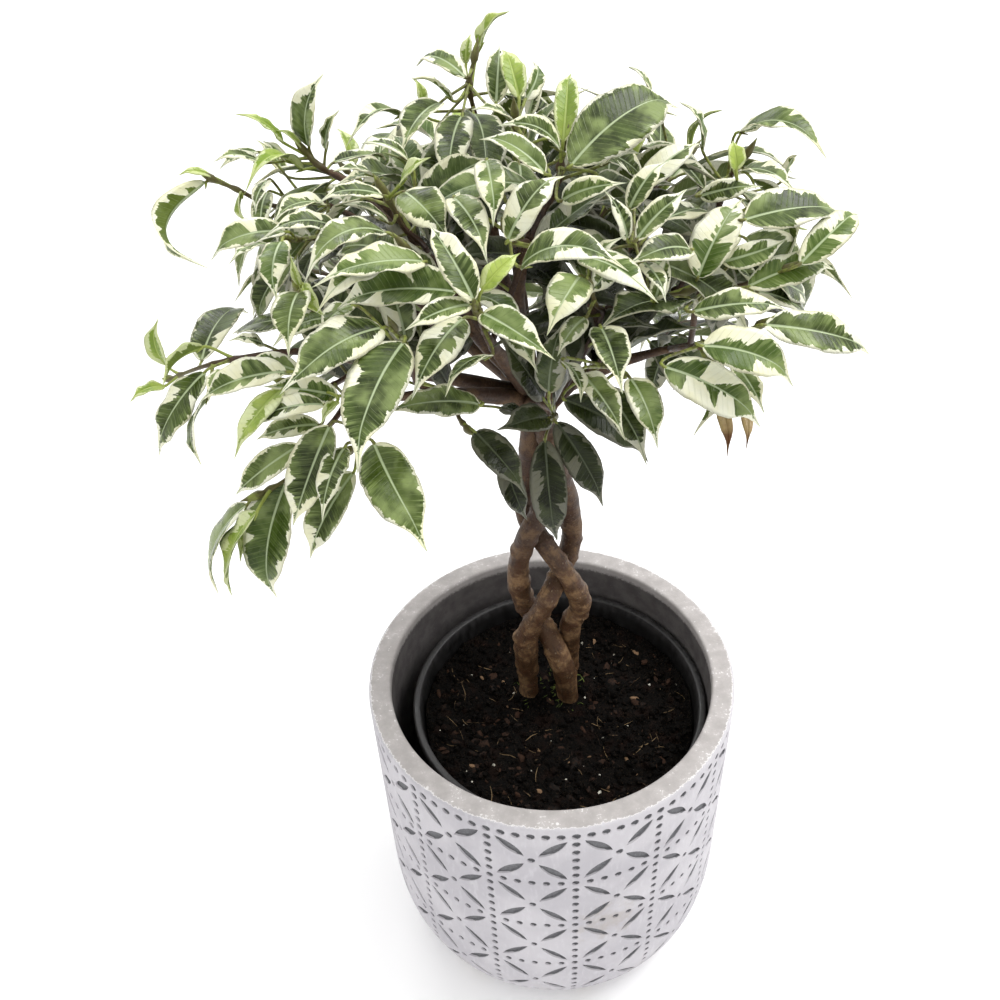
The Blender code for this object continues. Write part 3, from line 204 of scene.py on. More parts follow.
# Rules that place leaves, the same as the model's
SEEN_PUSHES = (0.0, 2.5, -2.5, 5.0, -5.0, 8.0, -8.0, 12.0, -12.0, 16.0)
SEEN_ROLLS = (0.0, 18.0, -18.0, 36.0, -36.0)
SEEN_STRETCH = (1.04, 1.3)
SEEN_TIP_RISE = 0.1
PETIOLE_BEND = 0.3
BEND_COST = 30.0
GROWN_TRIES = 26
GROWN_STRAY = (0.16, 0.035)
GROWN_ALONG = 0.7
GROWN_ACROSS = 0.8
GROWN_OUT = 0.25
GROWN_DROOP = 0.35
YOUNG_ACROSS = 0.15
GROWN_SHARE = 0.96
GROWN_ARCH = (0.3, 1.7)
GROWN_BREADTH = (0.88, 1.15)
GROWN_STALK = (0.8, 1.3)
INNER_TURN = 1.2
INNER_SHARE = 0.74
INNER_LOWEST_ROW = 340.0

Seen = namedtuple("Seen", "base tip share wide young roll arch")
Spray = namedtuple("Spray", "twig more leaves")

# Share of the dome, breadth, youth, roll and arch of a leaf whose row leaves them out
USUAL_LEAF = (0.86, 1.0, 0.0, 0.0, LEAF_ARCH)


def rows_of(text):
    """Rows of numbers, from text in which commas part the rows and spaces the numbers."""
    return [tuple(map(float, row.split())) for row in text.split(",") if row.strip()]


def routes_of(text):
    """Routes parted by semicolons. A point is its pixel across, its pixel down and its depth."""
    return [rows_of(route) for route in text.split(";")]


def leaves_of(text):
    """Leaves, each a row of the pixels of the blade's two ends, the share of the dome, the
    breadth, 1 for a young leaf, the roll in degrees and the arch. The last may be left out."""
    rows = [(*row, *USUAL_LEAF[len(row) - 4 :]) for row in rows_of(text)]
    return [Seen(row[:2], row[2:4], *row[4:]) for row in rows]


def sprays_of(text):
    """Sprays by name. Each has its name, how many more leaves it grows, its twig's pixels with
    their shares of the dome, and its leaves on indented lines."""
    sprays = {}
    for spray in text.strip().replace("\n    ", " ").split("\n"):
        head, twig, leaves = spray.split(":")
        name, more = head.split()
        sprays[name] = Spray(rows_of(twig), int(more), leaves_of(leaves))
    return sprays


STEM_ROUTES = routes_of("""
    527 668 11, 528 634 5, 546 600 1, 561 570 9, 572 538 12, 569 505 8, 557 470 3, 546 430 4,
    540 402 8;
    562 666 4, 545 628 10, 525 602 14, 518 572 8, 526 540 1, 541 510 2, 549 478 8, 546 440 11,
    537 402 11;
    569 658 17, 571 624 11, 580 603 8, 568 576 2, 548 548 4, 532 525 10, 523 497 12, 529 455 10,
    533 402 6
""")
STEM_FEET = ((-8.0, 12.5), (8.5, 7.5), (8.0, 17.0))
STEM_RADII = (4.9, 4.0)
STEM_SIDES = 6
BRANCH_ROUTES = routes_of("""
    530 395 8, 470 382 0, 400 368 -12, 335 355 -20, 292 351 -22;
    525 398 6, 475 395 -12, 425 395 -30, 385 398 -42;
    528 385 8, 478 335 2, 430 262 2, 385 205 4, 330 172 10;
    525 388 4, 500 355 -18, 484 332 -36;
    532 385 8, 518 300 6, 530 238 10, 556 190 16;
    530 380 12, 500 270 24, 485 180 34, 480 140 40;
    540 398 8, 600 369 0, 648 354 -8, 690 345 -12;
    540 388 10, 592 325 8, 650 300 2, 697 282 0, 712 225 6, 724 190 8;
    592 325 8, 620 270 16, 645 210 22, 655 185 26;
    532 402 2, 545 404 -12, 552 409 -24;
    540 385 14, 580 300 45, 630 230 70;
    532 385 16, 520 290 50, 510 215 80;
    525 388 14, 440 320 42, 370 255 66
""")
BRANCH_RADII = (3.6, 1.7)
BRANCH_SIDES = 4
SPUR_RADIUS = 1.6
FORK_SETBACK = 0.2

# Sprays that the photograph shows, and more of its leaves, for the nearest spray
SEEN_SPRAYS = sprays_of("""
left_tip 0: 288 352 .7, 240 358 .78, 205 366 .84, 172 378 .88:
    168 366 155 318 .86 1.2 1, 165 386 129 401 .86 1.3 1, 205 372 157 457 .86 1.15,
    207 398 197 463 .86 1 0 45, 203 347 162 384 .86 1 1 60, 264 345 228 338 .75
left_mid 0: 345 378 .6, 322 388 .72, 292 384 .8:
    287 372 198 403, 282 390 231 456 .86 .9 1, 325 405 243 432, 338 396 262 388 .78,
    320 425 255 441 .75, 337 402 320 424 .86 1 1
low_left 0: 340 412 .6, 316 440 .72, 290 476 .84, 264 492 .9:
    300 445 233 497, 286 483 273 601 .86 1.1, 247 505 213 599 .92 1 0 50,
    257 512 232 599 .94 1 1 45, 261 518 238 562 .86 1 1
low_mid 0: 385 402 .52, 372 425 .66, 352 448 .8:
    330 425 293 529 .86 1.1, 345 447 322 521, 354 472 309 561 .8, 374 443 431 550 .86 1.2
front_left 0: 418 384 .5, 412 358 .68, 396 332 .82:
    382 328 282 397 .9 1.25, 404 342 350 473 .92 1.15, 480 405 384 412 .6
left_hook 0: 330 206 .6, 275 206 .74, 238 190 .86, 217 181 .92:
    206 182 203 271 .93 .75 0 80 .34, 212 177 178 173 .93 1 1, 242 192 246 224 .86 1 1 50,
    268 192 262 240 .78
left_upper 0: 345 232 .62, 315 238 .74, 290 240 .84:
    286 232 207 258 .88 1.1, 340 231 262 236 .9 1 0 0 .2, 326 205 271 219 .84,
    282 241 273 300 .92 1.2, 272 246 228 262 .8
upper_left_tip 0: 355 186 .68, 335 176 .76, 318 165 .82, 308 155 .86:
    309 147 322 73 .9 1.35, 284 143 235 112 .86 .8 1, 303 150 275 128 .86 .7 1,
    262 163 213 158 .82, 286 161 262 141 .8, 326 150 339 108 .8, 302 170 241 192 .86 .8 1 0 .3
upper_mid_left 2: 424 246 .64, 404 228 .74, 393 208 .82, 386 197 .86:
    383 196 317 199 .92, 401 184 430 158 .92 1.3 1, 389 223 343 203 .85 1 0 30,
    404 192 450 240 .86 1.5, 372 175 333 172 .8
centre_left 2: 452 290 .66, 432 272 .78, 410 252 .86:
    386 233 301 278 .9 1 0 0 .25, 424 262 310 283 .9, 400 262 317 309 .95 1 0 45,
    456 292 332 306 .84 1.15
left_buds 0: 335 330 .66, 315 312 .78, 302 296 .86:
    299 292 289 352 .92 1.4, 300 285 291 254 .92 .7 1, 303 284 326 319 .92 .9 1,
    330 318 270 345 .75
front_shoot 0: 483 327 .72, 480 318 .82, 477 309 .92:
    474 301 425 222 .97, 471 305 405 331 .95, 482 313 554 359 .95 1.1, 482 291 522 252 .97 1.2 1,
    464 318 412 399 .84 1.1, 492 355 442 393 .7 1 0 40
trunk_front 0: 553 411 .36, 554 414 .42, 554 417 .48:
    549 418 497 432 .52 1.5, 556 422 605 506 .5, 545 440 556 544 .52 .95, 549 393 563 318 .6 1.1
under_left 0: 462 402 .4, 458 415 .46, 465 426 .5:
    475 432 530 495 .54 1.1, 500 408 530 420 .4, 503 458 527 522 .45
top_left 1: 480 132 .76, 474 110 .84, 469 86 .92, 473 64 .98:
    479 50 507 8 1 1.2 1, 466 78 414 62 .95 1 0 0 .2, 466 64 471 33 .98 1.2 1, 496 104 500 44 .92,
    453 101 412 75 .9 1 0 30, 422 112 414 76 .88 1 1, 440 103 401 152 .9 1.2, 462 116 449 197
top_mid 1: 524 180 .7, 518 150 .8, 515 118 .92:
    519 98 504 47 .95 1.1 1, 525 100 537 60 .93 1 0 40, 528 118 541 76 .88, 513 122 472 108 .88,
    560 150 497 126 .92 1 0 0 .2, 545 174 478 136 .94
top_right 1: 556 186 .76, 560 168 .84, 564 150 .9:
    563 142 568 69 .94 .8 1, 571 166 683 96 .93 1.2, 560 149 544 113 .88, 578 150 602 102 .84,
    603 165 639 152 .85 1.3, 562 201 627 184 .9 1 0 30
upper_centre 1: 526 250 .66, 514 244 .78, 507 232 .86:
    508 241 563 171 .92 1.2 0 0 .2, 521 267 629 268 .92 1.1 0 0 .28, 578 257 656 302 .84,
    486 160 497 226 .92, 453 198 491 261 .84
right_mid_up 1: 645 262 .62, 636 248 .74, 630 226 .84:
    629 210 667 159 .9 1.1, 640 190 703 143 .82, 637 240 690 191 .92, 627 240 605 189,
    691 250 627 268 .86 1.2, 655 300 668 250 .7, 642 263 668 299 .84
right_top 0: 724 188 .76, 732 174 .82, 744 158 .88:
    739 132 829 158 .92 1.2 0 0 .25, 736 170 732 140 .95 1.8 1, 742 171 798 191 .88,
    744 131 783 115 .85 1 0 30, 703 152 683 98 .8 1 0 30, 700 196 762 184 .82 1 0 35
right_a 2: 713 240 .68, 722 228 .78, 736 218 .86:
    744 220 846 212 .92 1.3, 722 262 790 239 .84 1 0 30, 698 278 744 196 .8 1.3
right_b 0: 702 290 .66, 738 286 .78, 778 272 .88:
    748 287 838 264 .84, 693 312 788 307 .84 1 0 0 .15, 800 264 862 206 .95, 735 265 757 292 .78,
    690 308 601 328 .7 1.6
right_tip 0: 696 346 .66, 726 338 .78, 755 327 .88:
    764 325 875 352 .93, 702 346 799 381 .88 1.35, 664 367 764 424 .78 1.25, 732 362 765 413 .74,
    718 396 731 456 .7 .6, 741 402 747 449 .7 .6
right_under 0: 600 362 .44, 612 368 .56, 622 374 .66:
    564 400 653 457 .56, 582 374 627 439 .7, 603 386 650 464 .64, 630 378 658 447 .72 1.2,
    601 328 622 390 .78 1.3, 562 362 583 402 .7
centre_right 0: 600 322 .5, 596 305 .66, 590 288 .78:
    580 276 545 333 .84 1.4, 590 268 622 236 .8
""")
MORE_SEEN = leaves_of("""
    258 152 219 168 .84 1.1, 284 174 256 139 .84 1.1, 268 180 253 213 .84,
    400 116 347 146 .86 .7 0 0 .25, 408 160 361 143 .86 1 0 0 .15, 651 93 628 65 .86 .9,
    688 104 706 166 .84 .8 0 0 .16, 738 166 792 184 .84 1.1, 783 180 797 152 .86 .8,
    330 190 366 214 .8 1.1, 232 372 205 398 .82 1.2, 300 372 242 362 .8 1.1,
    352 306 318 336 .84 1.1, 440 130 470 168 .84 1.1, 612 250 582 300 .8 1.1,
    560 250 586 292 .78 1.1, 586 318 556 356 .72, 510 330 540 372 .7
""")

# Rows of hidden twigs: height and bearings in degrees, how many, share of the dome, leaves
HIDDEN_ROWS = (
    (-12.0, 42.0, 135.0, 4, 0.84, 6),
    (16.0, 30.0, 142.0, 5, 0.84, 6),
    (46.0, 40.0, 136.0, 4, 0.84, 6),
    (50.0, -150.0, -30.0, 2, 0.6, 7),
    (66.0, 30.0, 150.0, 3, 0.7, 5),
)
HIDDEN_TWIG_SHARES = (0.6, 0.8, 1.0)
HIDDEN_TWIG_DROOP = 5.0
INNER_ROW = 4

Leaf = namedtuple("Leaf", "base axis side normal length width arch root young")


def unit(vector):
    return vector / np.linalg.norm(vector)


def units(vectors):
    return vectors / np.linalg.norm(vectors, axis=-1, keepdims=True)


def view_axes():
    """Forward, right and up of the photograph's viewpoint."""
    level = math.cos(AIM_ELEVATION)
    forward = np.array(
        (math.sin(AIM_AZIMUTH) * level, math.cos(AIM_AZIMUTH) * level, math.sin(AIM_ELEVATION))
    )
    right = unit(np.cross(forward, UP))
    above = np.cross(right, forward)
    turned_right = right * math.cos(AIM_ROLL) + above * math.sin(AIM_ROLL)
    return forward, turned_right, np.cross(turned_right, forward)


FORWARD, RIGHT, ABOVE = view_axes()


def sight(pixel):
    """Direction in which the photograph sees a pixel, given as (across, down)."""
    across, down = pixel[0] - PICTURE_MIDDLE, pixel[1] - PICTURE_MIDDLE
    return unit(FORWARD * FOCAL_PIXELS + RIGHT * across - ABOVE * down)


def pixel_row(point):
    """Row of the photograph's pixels at which a point shows."""
    ray = point - EYE
    return PICTURE_MIDDLE - FOCAL_PIXELS * (ray @ ABOVE) / (ray @ FORWARD)


def at_depth(pixel):
    """Point that a pixel (across, down, depth) shows on the upright plane y = depth."""
    line = sight(pixel)
    return EYE + line * (pixel[2] - EYE[1]) / line[1]


def on_dome(pixel, share=1.0):
    """Point that a pixel shows on the crown's dome, shrunk to a share of its size. Where the
    line of sight misses the dome, it is the point that comes nearest."""
    line = sight(pixel)
    start = (EYE - CROWN_CENTRE) / (CROWN_RADII * share)
    step = line / (CROWN_RADII * share)
    nearest = -start @ step / (step @ step)
    inside = nearest**2 - (start @ start - 1) / (step @ step)
    return EYE + line * (nearest - math.sqrt(max(inside, 0.0)))


def at_distance(pixel, centre, distance, near_to):
    """Point that a pixel shows, a distance from a centre. Of two such points it is the one
    nearer a third point, and where there is none, the one nearest the centre."""
    line = sight(pixel)
    foot = (centre - EYE) @ line
    gap = np.linalg.norm(EYE + line * foot - centre)
    reach = math.sqrt(max(distance**2 - gap**2, 0.0))
    sign = 1.0 if (near_to - EYE) @ line > foot else -1.0
    return EYE + line * (foot + sign * reach)


def smooth_route(points, steps):
    """Catmull-Rom curve through the points, with so many steps between each two."""
    points = np.array(points, float)
    padded = np.vstack((2 * points[0] - points[1], points, 2 * points[-1] - points[-2]))
    share = np.linspace(0, 1, steps, endpoint=False)[:, None]
    pieces = []
    for a, b, c, d in zip(padded, padded[1:], padded[2:], padded[3:]):
        cubic = share**3 * (3 * b - a - 3 * c + d) + share**2 * (2 * a - 5 * b + 4 * c - d)
        pieces.append(b + (cubic + share * (c - a)) / 2)
    return np.vstack(pieces + [points[-1:]])


def tangents_of(route):
    return units(np.gradient(route, axis=0))


def rings_round(route, radii, sides):
    """Rings of points square to a route, turning as little as they can along it."""
    tangents = tangents_of(route)
    side = unit(np.cross(tangents[0], (0.31, 0.42, 0.85)))
    across = []
    for tangent in tangents:
        side = unit(side - (side @ tangent) * tangent)
        across.append(side)
    across = np.array(across)[:, None]
    above = np.cross(tangents, across[:, 0])[:, None]
    angles = (np.arange(sides) * 2 * math.pi / sides)[:, None]
    rings = np.cos(angles) * across + np.sin(angles) * above
    return route[:, None] + rings * np.asarray(radii, float)[:, None, None]


def ring_faces(rings, sides):
    """Triangles that join rings of points one after another, and close both ends."""
    faces = []
    for ring in range(rings - 1):
        for k in range(sides):
            a, b = ring * sides + k, ring * sides + (k + 1) % sides
            faces += [(a, b, b + sides), (a, b + sides, a + sides)]
    last = (rings - 1) * sides
    faces += [(0, k + 1, k) for k in range(1, sides - 1)]
    faces += [(last, last + k, last + k + 1) for k in range(1, sides - 1)]
    return faces


def bar(rings):
    """Closed bar through rings of points, as points and triangles."""
    return rings.reshape(-1, 3), ring_faces(len(rings), rings.shape[1])


def tube(route, radii, sides):
    """Closed round bar along a route, its radius running evenly between two values."""
    route = np.asarray(route, float)
    return bar(rings_round(route, np.linspace(*radii, len(route)), sides))


def turned_about(vector, axis, degrees):
    """A vector turned about an axis that is square to it."""
    angle = math.radians(degrees)
    return vector * math.cos(angle) + np.cross(axis, vector) * math.sin(angle)


def outward(point):
    """Direction square to the dome at a point."""
    return unit((point - CROWN_CENTRE) / CROWN_RADII**2)


def dome_share(point):
    """Share of the dome's size at which a point lies."""
    return np.linalg.norm((point - CROWN_CENTRE) / CROWN_RADII)


def leaf_between(base, tip, root, face, roll, arch, wide, young):
    """Leaf from its blade's two ends and its petiole's root, facing as nearly as it can one way
    and then rolled about its length."""
    length = np.linalg.norm(tip - base)
    axis = (tip - base) / length
    normal = turned_about(unit(face - (face @ axis) * axis), axis, roll)
    width = length * LEAF_WIDTH_SHARE * wide
    return Leaf(base, axis, np.cross(normal, axis), normal, length, width, arch, root, young)


def blade_outline(share):
    """Half width of a blade along its length, widest near 0.4, with a drawn-out tip."""
    body = math.sin(math.pi * min(share / 0.92, 1.0) ** 0.84) ** 0.9
    return max(body, 0.12 * (1 - share))


def swung(vector, before, after):
    """A vector carried along by the shortest turn from one direction to another."""
    both = before + after
    return vector - both * (both @ vector) / (1 + before @ after) + 2 * (before @ vector) * after


def leaf_solid(leaf, grow=0.0, stalked=True):
    """Closed solid of a petiole and its arched blade, or of the blade alone, three-sided all
    along: two margins raised a little over a keel under the midrib."""
    way = unit(leaf.base - leaf.root)
    stalk = PETIOLE_RADIUS + grow / 2
    sections = []
    for centre, tangent in ((leaf.root, way), (leaf.base, unit(way + leaf.axis))):
        sections.append((centre, tangent, swung(leaf.side, leaf.axis, tangent), stalk, stalk))
    for share in LEAF_STATIONS:
        slope = 4 * (1 - 2 * share) * leaf.arch
        rise = leaf.normal * 4 * share * (1 - share) * leaf.arch
        centre = leaf.base + leaf.length * (leaf.axis * share + rise)
        half = max(leaf.width / 2 * blade_outline(share), PETIOLE_RADIUS)
        keel = KEEL_DEPTH[0] + (KEEL_DEPTH[1] - KEEL_DEPTH[0]) * share
        sections.append((centre, unit(leaf.axis + leaf.normal * slope), leaf.side, half, keel))
    points = []
    for centre, tangent, side, half, keel in sections if stalked else sections[1:]:
        normal = np.cross(tangent, side)
        margin = centre + normal * (LEAF_FOLD * half + grow)
        points += [margin + side * (half + grow), margin - side * (half + grow)]
        points.append(centre - normal * (keel + grow))
    points.append(leaf.base + leaf.axis * (leaf.length + grow))
    tip = len(points) - 1
    faces = ring_faces(tip // 3, 3)[:-1]
    faces += [(tip - 3 + k, tip - 3 + (k + 1) % 3, tip) for k in range(3)]
    return np.array(points), faces


class Thicket:
    """The solids placed so far, each with its owner, to keep new ones clear of them."""

    def __init__(self, wood, twigs):
        self.middles, self.reaches, self.trees, self.owners = [], [], [], []
        for solid in wood:
            self.add(solid, "wood")
        for name, (_, solid) in twigs.items():
            self.add(solid, name)

    def add(self, solid, owner):
        for values, value in zip((self.middles, self.reaches, self.trees), self.bound(solid)):
            values.append(value)
        self.owners.append(owner)

    def bound(self, solid):
        """Middle and reach of a solid's box, and its tree of triangles."""
        points, faces = solid
        low, high = points.min(axis=0), points.max(axis=0)
        tree = BVHTree.FromPolygons(points.tolist(), faces)
        return (low + high) / 2, np.linalg.norm(high - low) / 2, tree

    def met_by(self, solid):
        """Owners of the solids that this one crosses."""
        middle, reach, tree = self.bound(solid)
        gaps = np.linalg.norm(np.array(self.middles) - middle, axis=1)
        near = np.flatnonzero(gaps < np.array(self.reaches) + reach)
        return {self.owners[k] for k in near if self.trees[k].overlap(tree)}


def first_clear(candidates, thicket, owner):
    """The first leaf clear of other sprays whose blade also crosses no blade of its own spray,
    or else the first that is clear of other sprays."""
    second = None
    for leaf in candidates:
        if thicket.met_by(leaf_solid(leaf, CLEARANCE)) <= {owner, owner + BLADE}:
            if owner + BLADE not in thicket.met_by(leaf_solid(leaf, stalked=False)):
                return leaf
            second = second or leaf
    return second


def seen_candidates(leaf, twig):
    """Places for a leaf that the photograph shows: where its pixels put it, and then nearer or
    further along the line of sight, and rolled either way. Its petiole springs from the spot
    on the twig that it reaches with the least length and bend."""
    base = on_dome(leaf.base, leaf.share)
    base_sight = sight(leaf.base)
    for push, roll in product(SEEN_PUSHES, SEEN_ROLLS):
        start = base + base_sight * push
        flat = np.linalg.norm(at_distance(leaf.tip, start, 0.0, start) - start)
        goal = on_dome(leaf.tip, min(leaf.share + SEEN_TIP_RISE, 1.0)) + base_sight * push
        shortest, longest = SEEN_STRETCH
        length = min(max(np.linalg.norm(goal - start), shortest * flat), longest * flat)
        tip = at_distance(leaf.tip, start, length, goal)
        aim = unit(tip - start)
        ways = start - twig
        reach = np.linalg.norm(ways - aim * PETIOLE_LENGTH, axis=1)
        bend = np.maximum(PETIOLE_BEND - ways @ aim / np.linalg.norm(ways, axis=1), 0.0)
        root = twig[np.argmin(reach + BEND_COST * bend)]
        face = unit(UP - FORWARD + outward(start) / 2)
        turn = leaf.roll + roll
        yield leaf_between(start, tip, root, face, turn, leaf.arch, leaf.wide, leaf.young)


def grown_candidates(twig, place, hand, young, inner, random):
    """Places for a leaf that grows from a place on a twig, to its left or right hand. It points
    along the twig and away from it, droops, and faces up and out, and it strays further with
    each attempt. An inner one turns away from the viewpoint and stays well inside the dome."""
    spot = min(int(place * (len(twig) - 1)), len(twig) - 2)
    root, along = twig[spot], tangents_of(twig)[spot]
    across = unit(np.cross(along, UP)) * hand
    out = outward(root)
    aim = along * GROWN_ALONG + out * GROWN_OUT
    if young:
        aim = aim + across * YOUNG_ACROSS
    else:
        aim = aim + across * GROWN_ACROSS - UP * GROWN_DROOP
    if inner:
        aim = aim + FORWARD * INNER_TURN
    for attempt in range(GROWN_TRIES):
        stray = random.normal(size=3) * (GROWN_STRAY[0] + GROWN_STRAY[1] * attempt)
        way = unit(aim + stray)
        length = random.uniform(*(YOUNG_LENGTH if young else LEAF_LENGTH))
        stalk = PETIOLE_LENGTH * random.uniform(*GROWN_STALK)
        start = root + unit(way + along / 2 + out / 3) * stalk
        tip = start + way * length
        face = UP + out + random.normal(size=3) / 2
        arch = LEAF_ARCH * random.uniform(*GROWN_ARCH)
        wide = random.uniform(*GROWN_BREADTH)
        fits = dome_share(tip) < GROWN_SHARE
        if inner:
            fits = dome_share(tip) < INNER_SHARE and pixel_row(tip) < INNER_LOWEST_ROW
        if fits:
            yield leaf_between(start, tip, root, face, 0.0, arch, wide, young)


def hidden_twigs():
    """Twigs of the hidden rows, each with its number of leaves: each runs out towards the
    dome, and its end droops."""
    twigs = {}
    for row, (height, first, last, count, reach, leaves) in enumerate(HIDDEN_ROWS):
        rise = math.radians(height)
        for k, bearing in enumerate(np.radians(np.linspace(first, last, count))):
            level = math.cos(rise)
            ray = (math.cos(bearing) * level, math.sin(bearing) * level, math.sin(rise))
            full = CROWN_RADII * reach * ray
            ends = [CROWN_CENTRE + full * share for share in HIDDEN_TWIG_SHARES]
            ends[-1] = ends[-1] - UP * HIDDEN_TWIG_DROOP
            twigs[f"row{row + 1}_{k + 1}"] = ends, leaves
    return twigs


def grow_wood_and_twigs():
    """Closed solids of the wood, and each spray's twig as its route and its solid. The wood
    ends in a spur for each twig, which carries on from it after a small gap."""
    wood = []
    for route, foot in zip(STEM_ROUTES, STEM_FEET):
        low, top = (*foot, SOIL_LEVEL - STEM_SINK), (*foot, SOIL_LEVEL)
        points = smooth_route([top, *map(at_depth, route)], 2)
        wood.append(tube(np.vstack(([low], points)), STEM_RADII, STEM_SIDES))
    branches = []
    for route in BRANCH_ROUTES:
        branches.append(smooth_route(list(map(at_depth, route)), 2))
        wood.append(tube(branches[-1], BRANCH_RADII, BRANCH_SIDES))
    forks = np.vstack(branches)
    head = at_depth(BRANCH_ROUTES[0][0])
    ends = {name: [on_dome(p, p[2]) for p in spray.twig] for name, spray in SEEN_SPRAYS.items()}
    ends.update({name: points for name, (points, leaves) in hidden_twigs().items()})
    twigs, ways = {}, {}
    for name, points in ends.items():
        wish = points[0] + FORK_SETBACK * (head - points[0])
        fork = forks[np.argmin(np.linalg.norm(forks - wish, axis=1))]
        route = smooth_route([fork] + points, 2)
        rings = rings_round(route, np.linspace(SPUR_RADIUS, TWIG_RADIUS, len(route)), TWIG_SIDES)
        wood.append(bar(rings[::2][:2]))
        start = rings[2:].copy()
        start[0] += tangents_of(route)[2] * GAP
        twigs[name] = route[2:], bar(start)
        ways[name] = np.vstack(([fork], points))
    return wood, twigs, ways


def grow_leaves(wood, twigs):
    """Leaves of each spray, each clear of the wood and of every other spray."""
    random = np.random.default_rng(SEED)
    thicket = Thicket(wood, twigs)
    leaves = {name: [] for name in twigs}

    def place(name, candidates):
        leaf = first_clear(candidates, thicket, name)
        if leaf is not None:
            thicket.add(leaf_solid(leaf), name)
            thicket.add(leaf_solid(leaf, stalked=False), name + BLADE)
            leaves[name].append(leaf)

    for name, spray in SEEN_SPRAYS.items():
        dense = smooth_route(twigs[name][0], 4)[:-2]
        for leaf in spray.leaves:
            place(name, seen_candidates(leaf, dense))
    hidden_leaves = {name: count for name, (points, count) in hidden_twigs().items()}
    for name, (route, solid) in twigs.items():
        hidden = name not in SEEN_SPRAYS
        count = hidden_leaves[name] if hidden else SEEN_SPRAYS[name].more
        dense = smooth_route(route, 4)[:-2]
        for k in range(count):
            young = hidden and k == count - 1
            hand = 1 if k % 2 else -1
            inner = not hidden or name.startswith(f"row{INNER_ROW}")
            place(name, grown_candidates(dense, (k + 0.6) / count, hand, young, inner, random))
    return leaves


def ripple(points, size, seed, waves=9):
    """Smooth noise: the mean of sines of the distance along random directions, over a size."""
    random = np.random.default_rng(seed)
    ways = units(random.normal(size=(waves, 3)))
    turns = np.tensordot(points, ways * random.uniform(0.7, 1.6, (waves, 1)) / size, (-1, 1))
    return np.sin(turns + random.uniform(0, TAU, waves)).mean(axis=-1) * 2


def smoothstep(low, high, value):
    """0 below a low value and 1 above a high one, by 3 s^2 - 2 s^3 of the share between."""
    share = np.clip((value - low) / (high - low), 0, 1)
    return share * share * (3 - 2 * share)


def swelling(value, middle, breadth):
    """A bump of height 1 at a middle value: exp(-((value - middle) / breadth)^2)."""
    return np.exp(-(((value - middle) / breadth) ** 2))


def grid_faces(rows, columns):
    """Triangles of a grid of points, row after row. Each cell (i, j) gives (i, j),
    (i, j + 1), (i + 1, j + 1) and (i, j), (i + 1, j + 1), (i + 1, j), and the last column is
    joined to the first."""
    i, j = np.mgrid[: rows - 1, :columns]
    after = (j + 1) % columns
    a, b = i * columns + j, i * columns + after
    c, d = b + columns, a + columns
    return np.stack((a, b, c, a, c, d), axis=-1).reshape(-1, 3)


def faced_out(points, faces):
    """Triangles of a closed surface, turned round if the volume in them comes out negative."""
    a, b, c = (points[faces[:, k]] for k in range(3))
    return faces if np.sum(a * np.cross(b, c)) > 0 else faces[:, ::-1]


def grid_part(points, material=0, **values):
    """Part of a piece from one grid of points or a stack of them: its points, triangles, and
    a value or vector for each point under each name."""
    rows, columns = points.shape[-3:-1]
    copies = np.arange(points.size // (rows * columns * 3))[:, None, None]
    faces = (grid_faces(rows, columns) + copies * rows * columns).reshape(-1, 3)
    flat = points.reshape(-1, 3)
    layers = {"material": np.full((len(flat), 1), float(material))}
    for name, value in values.items():
        value = np.asarray(value, float)
        vector = value.ndim == points.ndim and value.shape[-1] == 3
        full = np.broadcast_to(value, points.shape if vector else points.shape[:-1])
        layers[name] = full.reshape(len(flat), -1)
    return flat, faced_out(flat, faces), layers


def joined(parts):
    """One set of points, triangles and values from several. Points that meet become one, and
    triangles that this flattens are dropped."""
    starts = np.cumsum([0] + [len(part[0]) for part in parts[:-1]])
    points = np.concatenate([part[0] for part in parts])
    faces = np.concatenate([part[1] + start for part, start in zip(parts, starts)])
    values = {name: np.concatenate([part[2][name] for part in parts]) for name in parts[0][2]}
    keys = np.round(points / MERGE_GRAIN + 0.37).astype(np.int64)
    first, place = np.unique(keys, axis=0, return_index=True, return_inverse=True)[1:]
    picked = values.pop("material")[faces[:, 0], 0].astype(np.int32)
    faces = place.reshape(-1)[faces]
    whole = (faces[:, 0] != faces[:, 1]) & (faces[:, 1] != faces[:, 2])
    whole &= faces[:, 2] != faces[:, 0]
    values = {name: value[first] for name, value in values.items()}
    return points[first], faces[whole], picked[whole], values


def put_in_scene(name, data):
    """The scene's object for a mesh, a light or a camera."""
    thing = bpy.data.objects.new(name, data)
    bpy.context.scene.collection.objects.link(thing)
    return thing


def make_piece(name, parts, materials, nodes, sharp=None):
    """Mesh object from parts, kept inside the solids' box. It rides on the root body and
    stands for CAD nodes."""
    points, faces, picked, values = joined(parts)
    points = np.clip(points, *(np.array(CAD_BOX) / MM))
    mesh = bpy.data.meshes.new(name)
    mesh.from_pydata((points * MM).tolist(), [], faces.tolist())
    for material in materials:
        mesh.materials.append(material)
    mesh.polygons.foreach_set("material_index", picked)
    for key, value in values.items():
        vector = value.shape[1] > 1
        layer = mesh.attributes.new(key, "FLOAT_VECTOR" if vector else "FLOAT", "POINT")
        flat = value.astype(np.float32).ravel()
        layer.data.foreach_set("vector" if vector else "value", flat)
    mesh.shade_smooth()
    if sharp:
        mesh.set_sharp_from_angle(angle=math.radians(sharp))
    mesh.update()
    piece = put_in_scene(name, mesh)
    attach(piece, "root")
    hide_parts(*nodes)


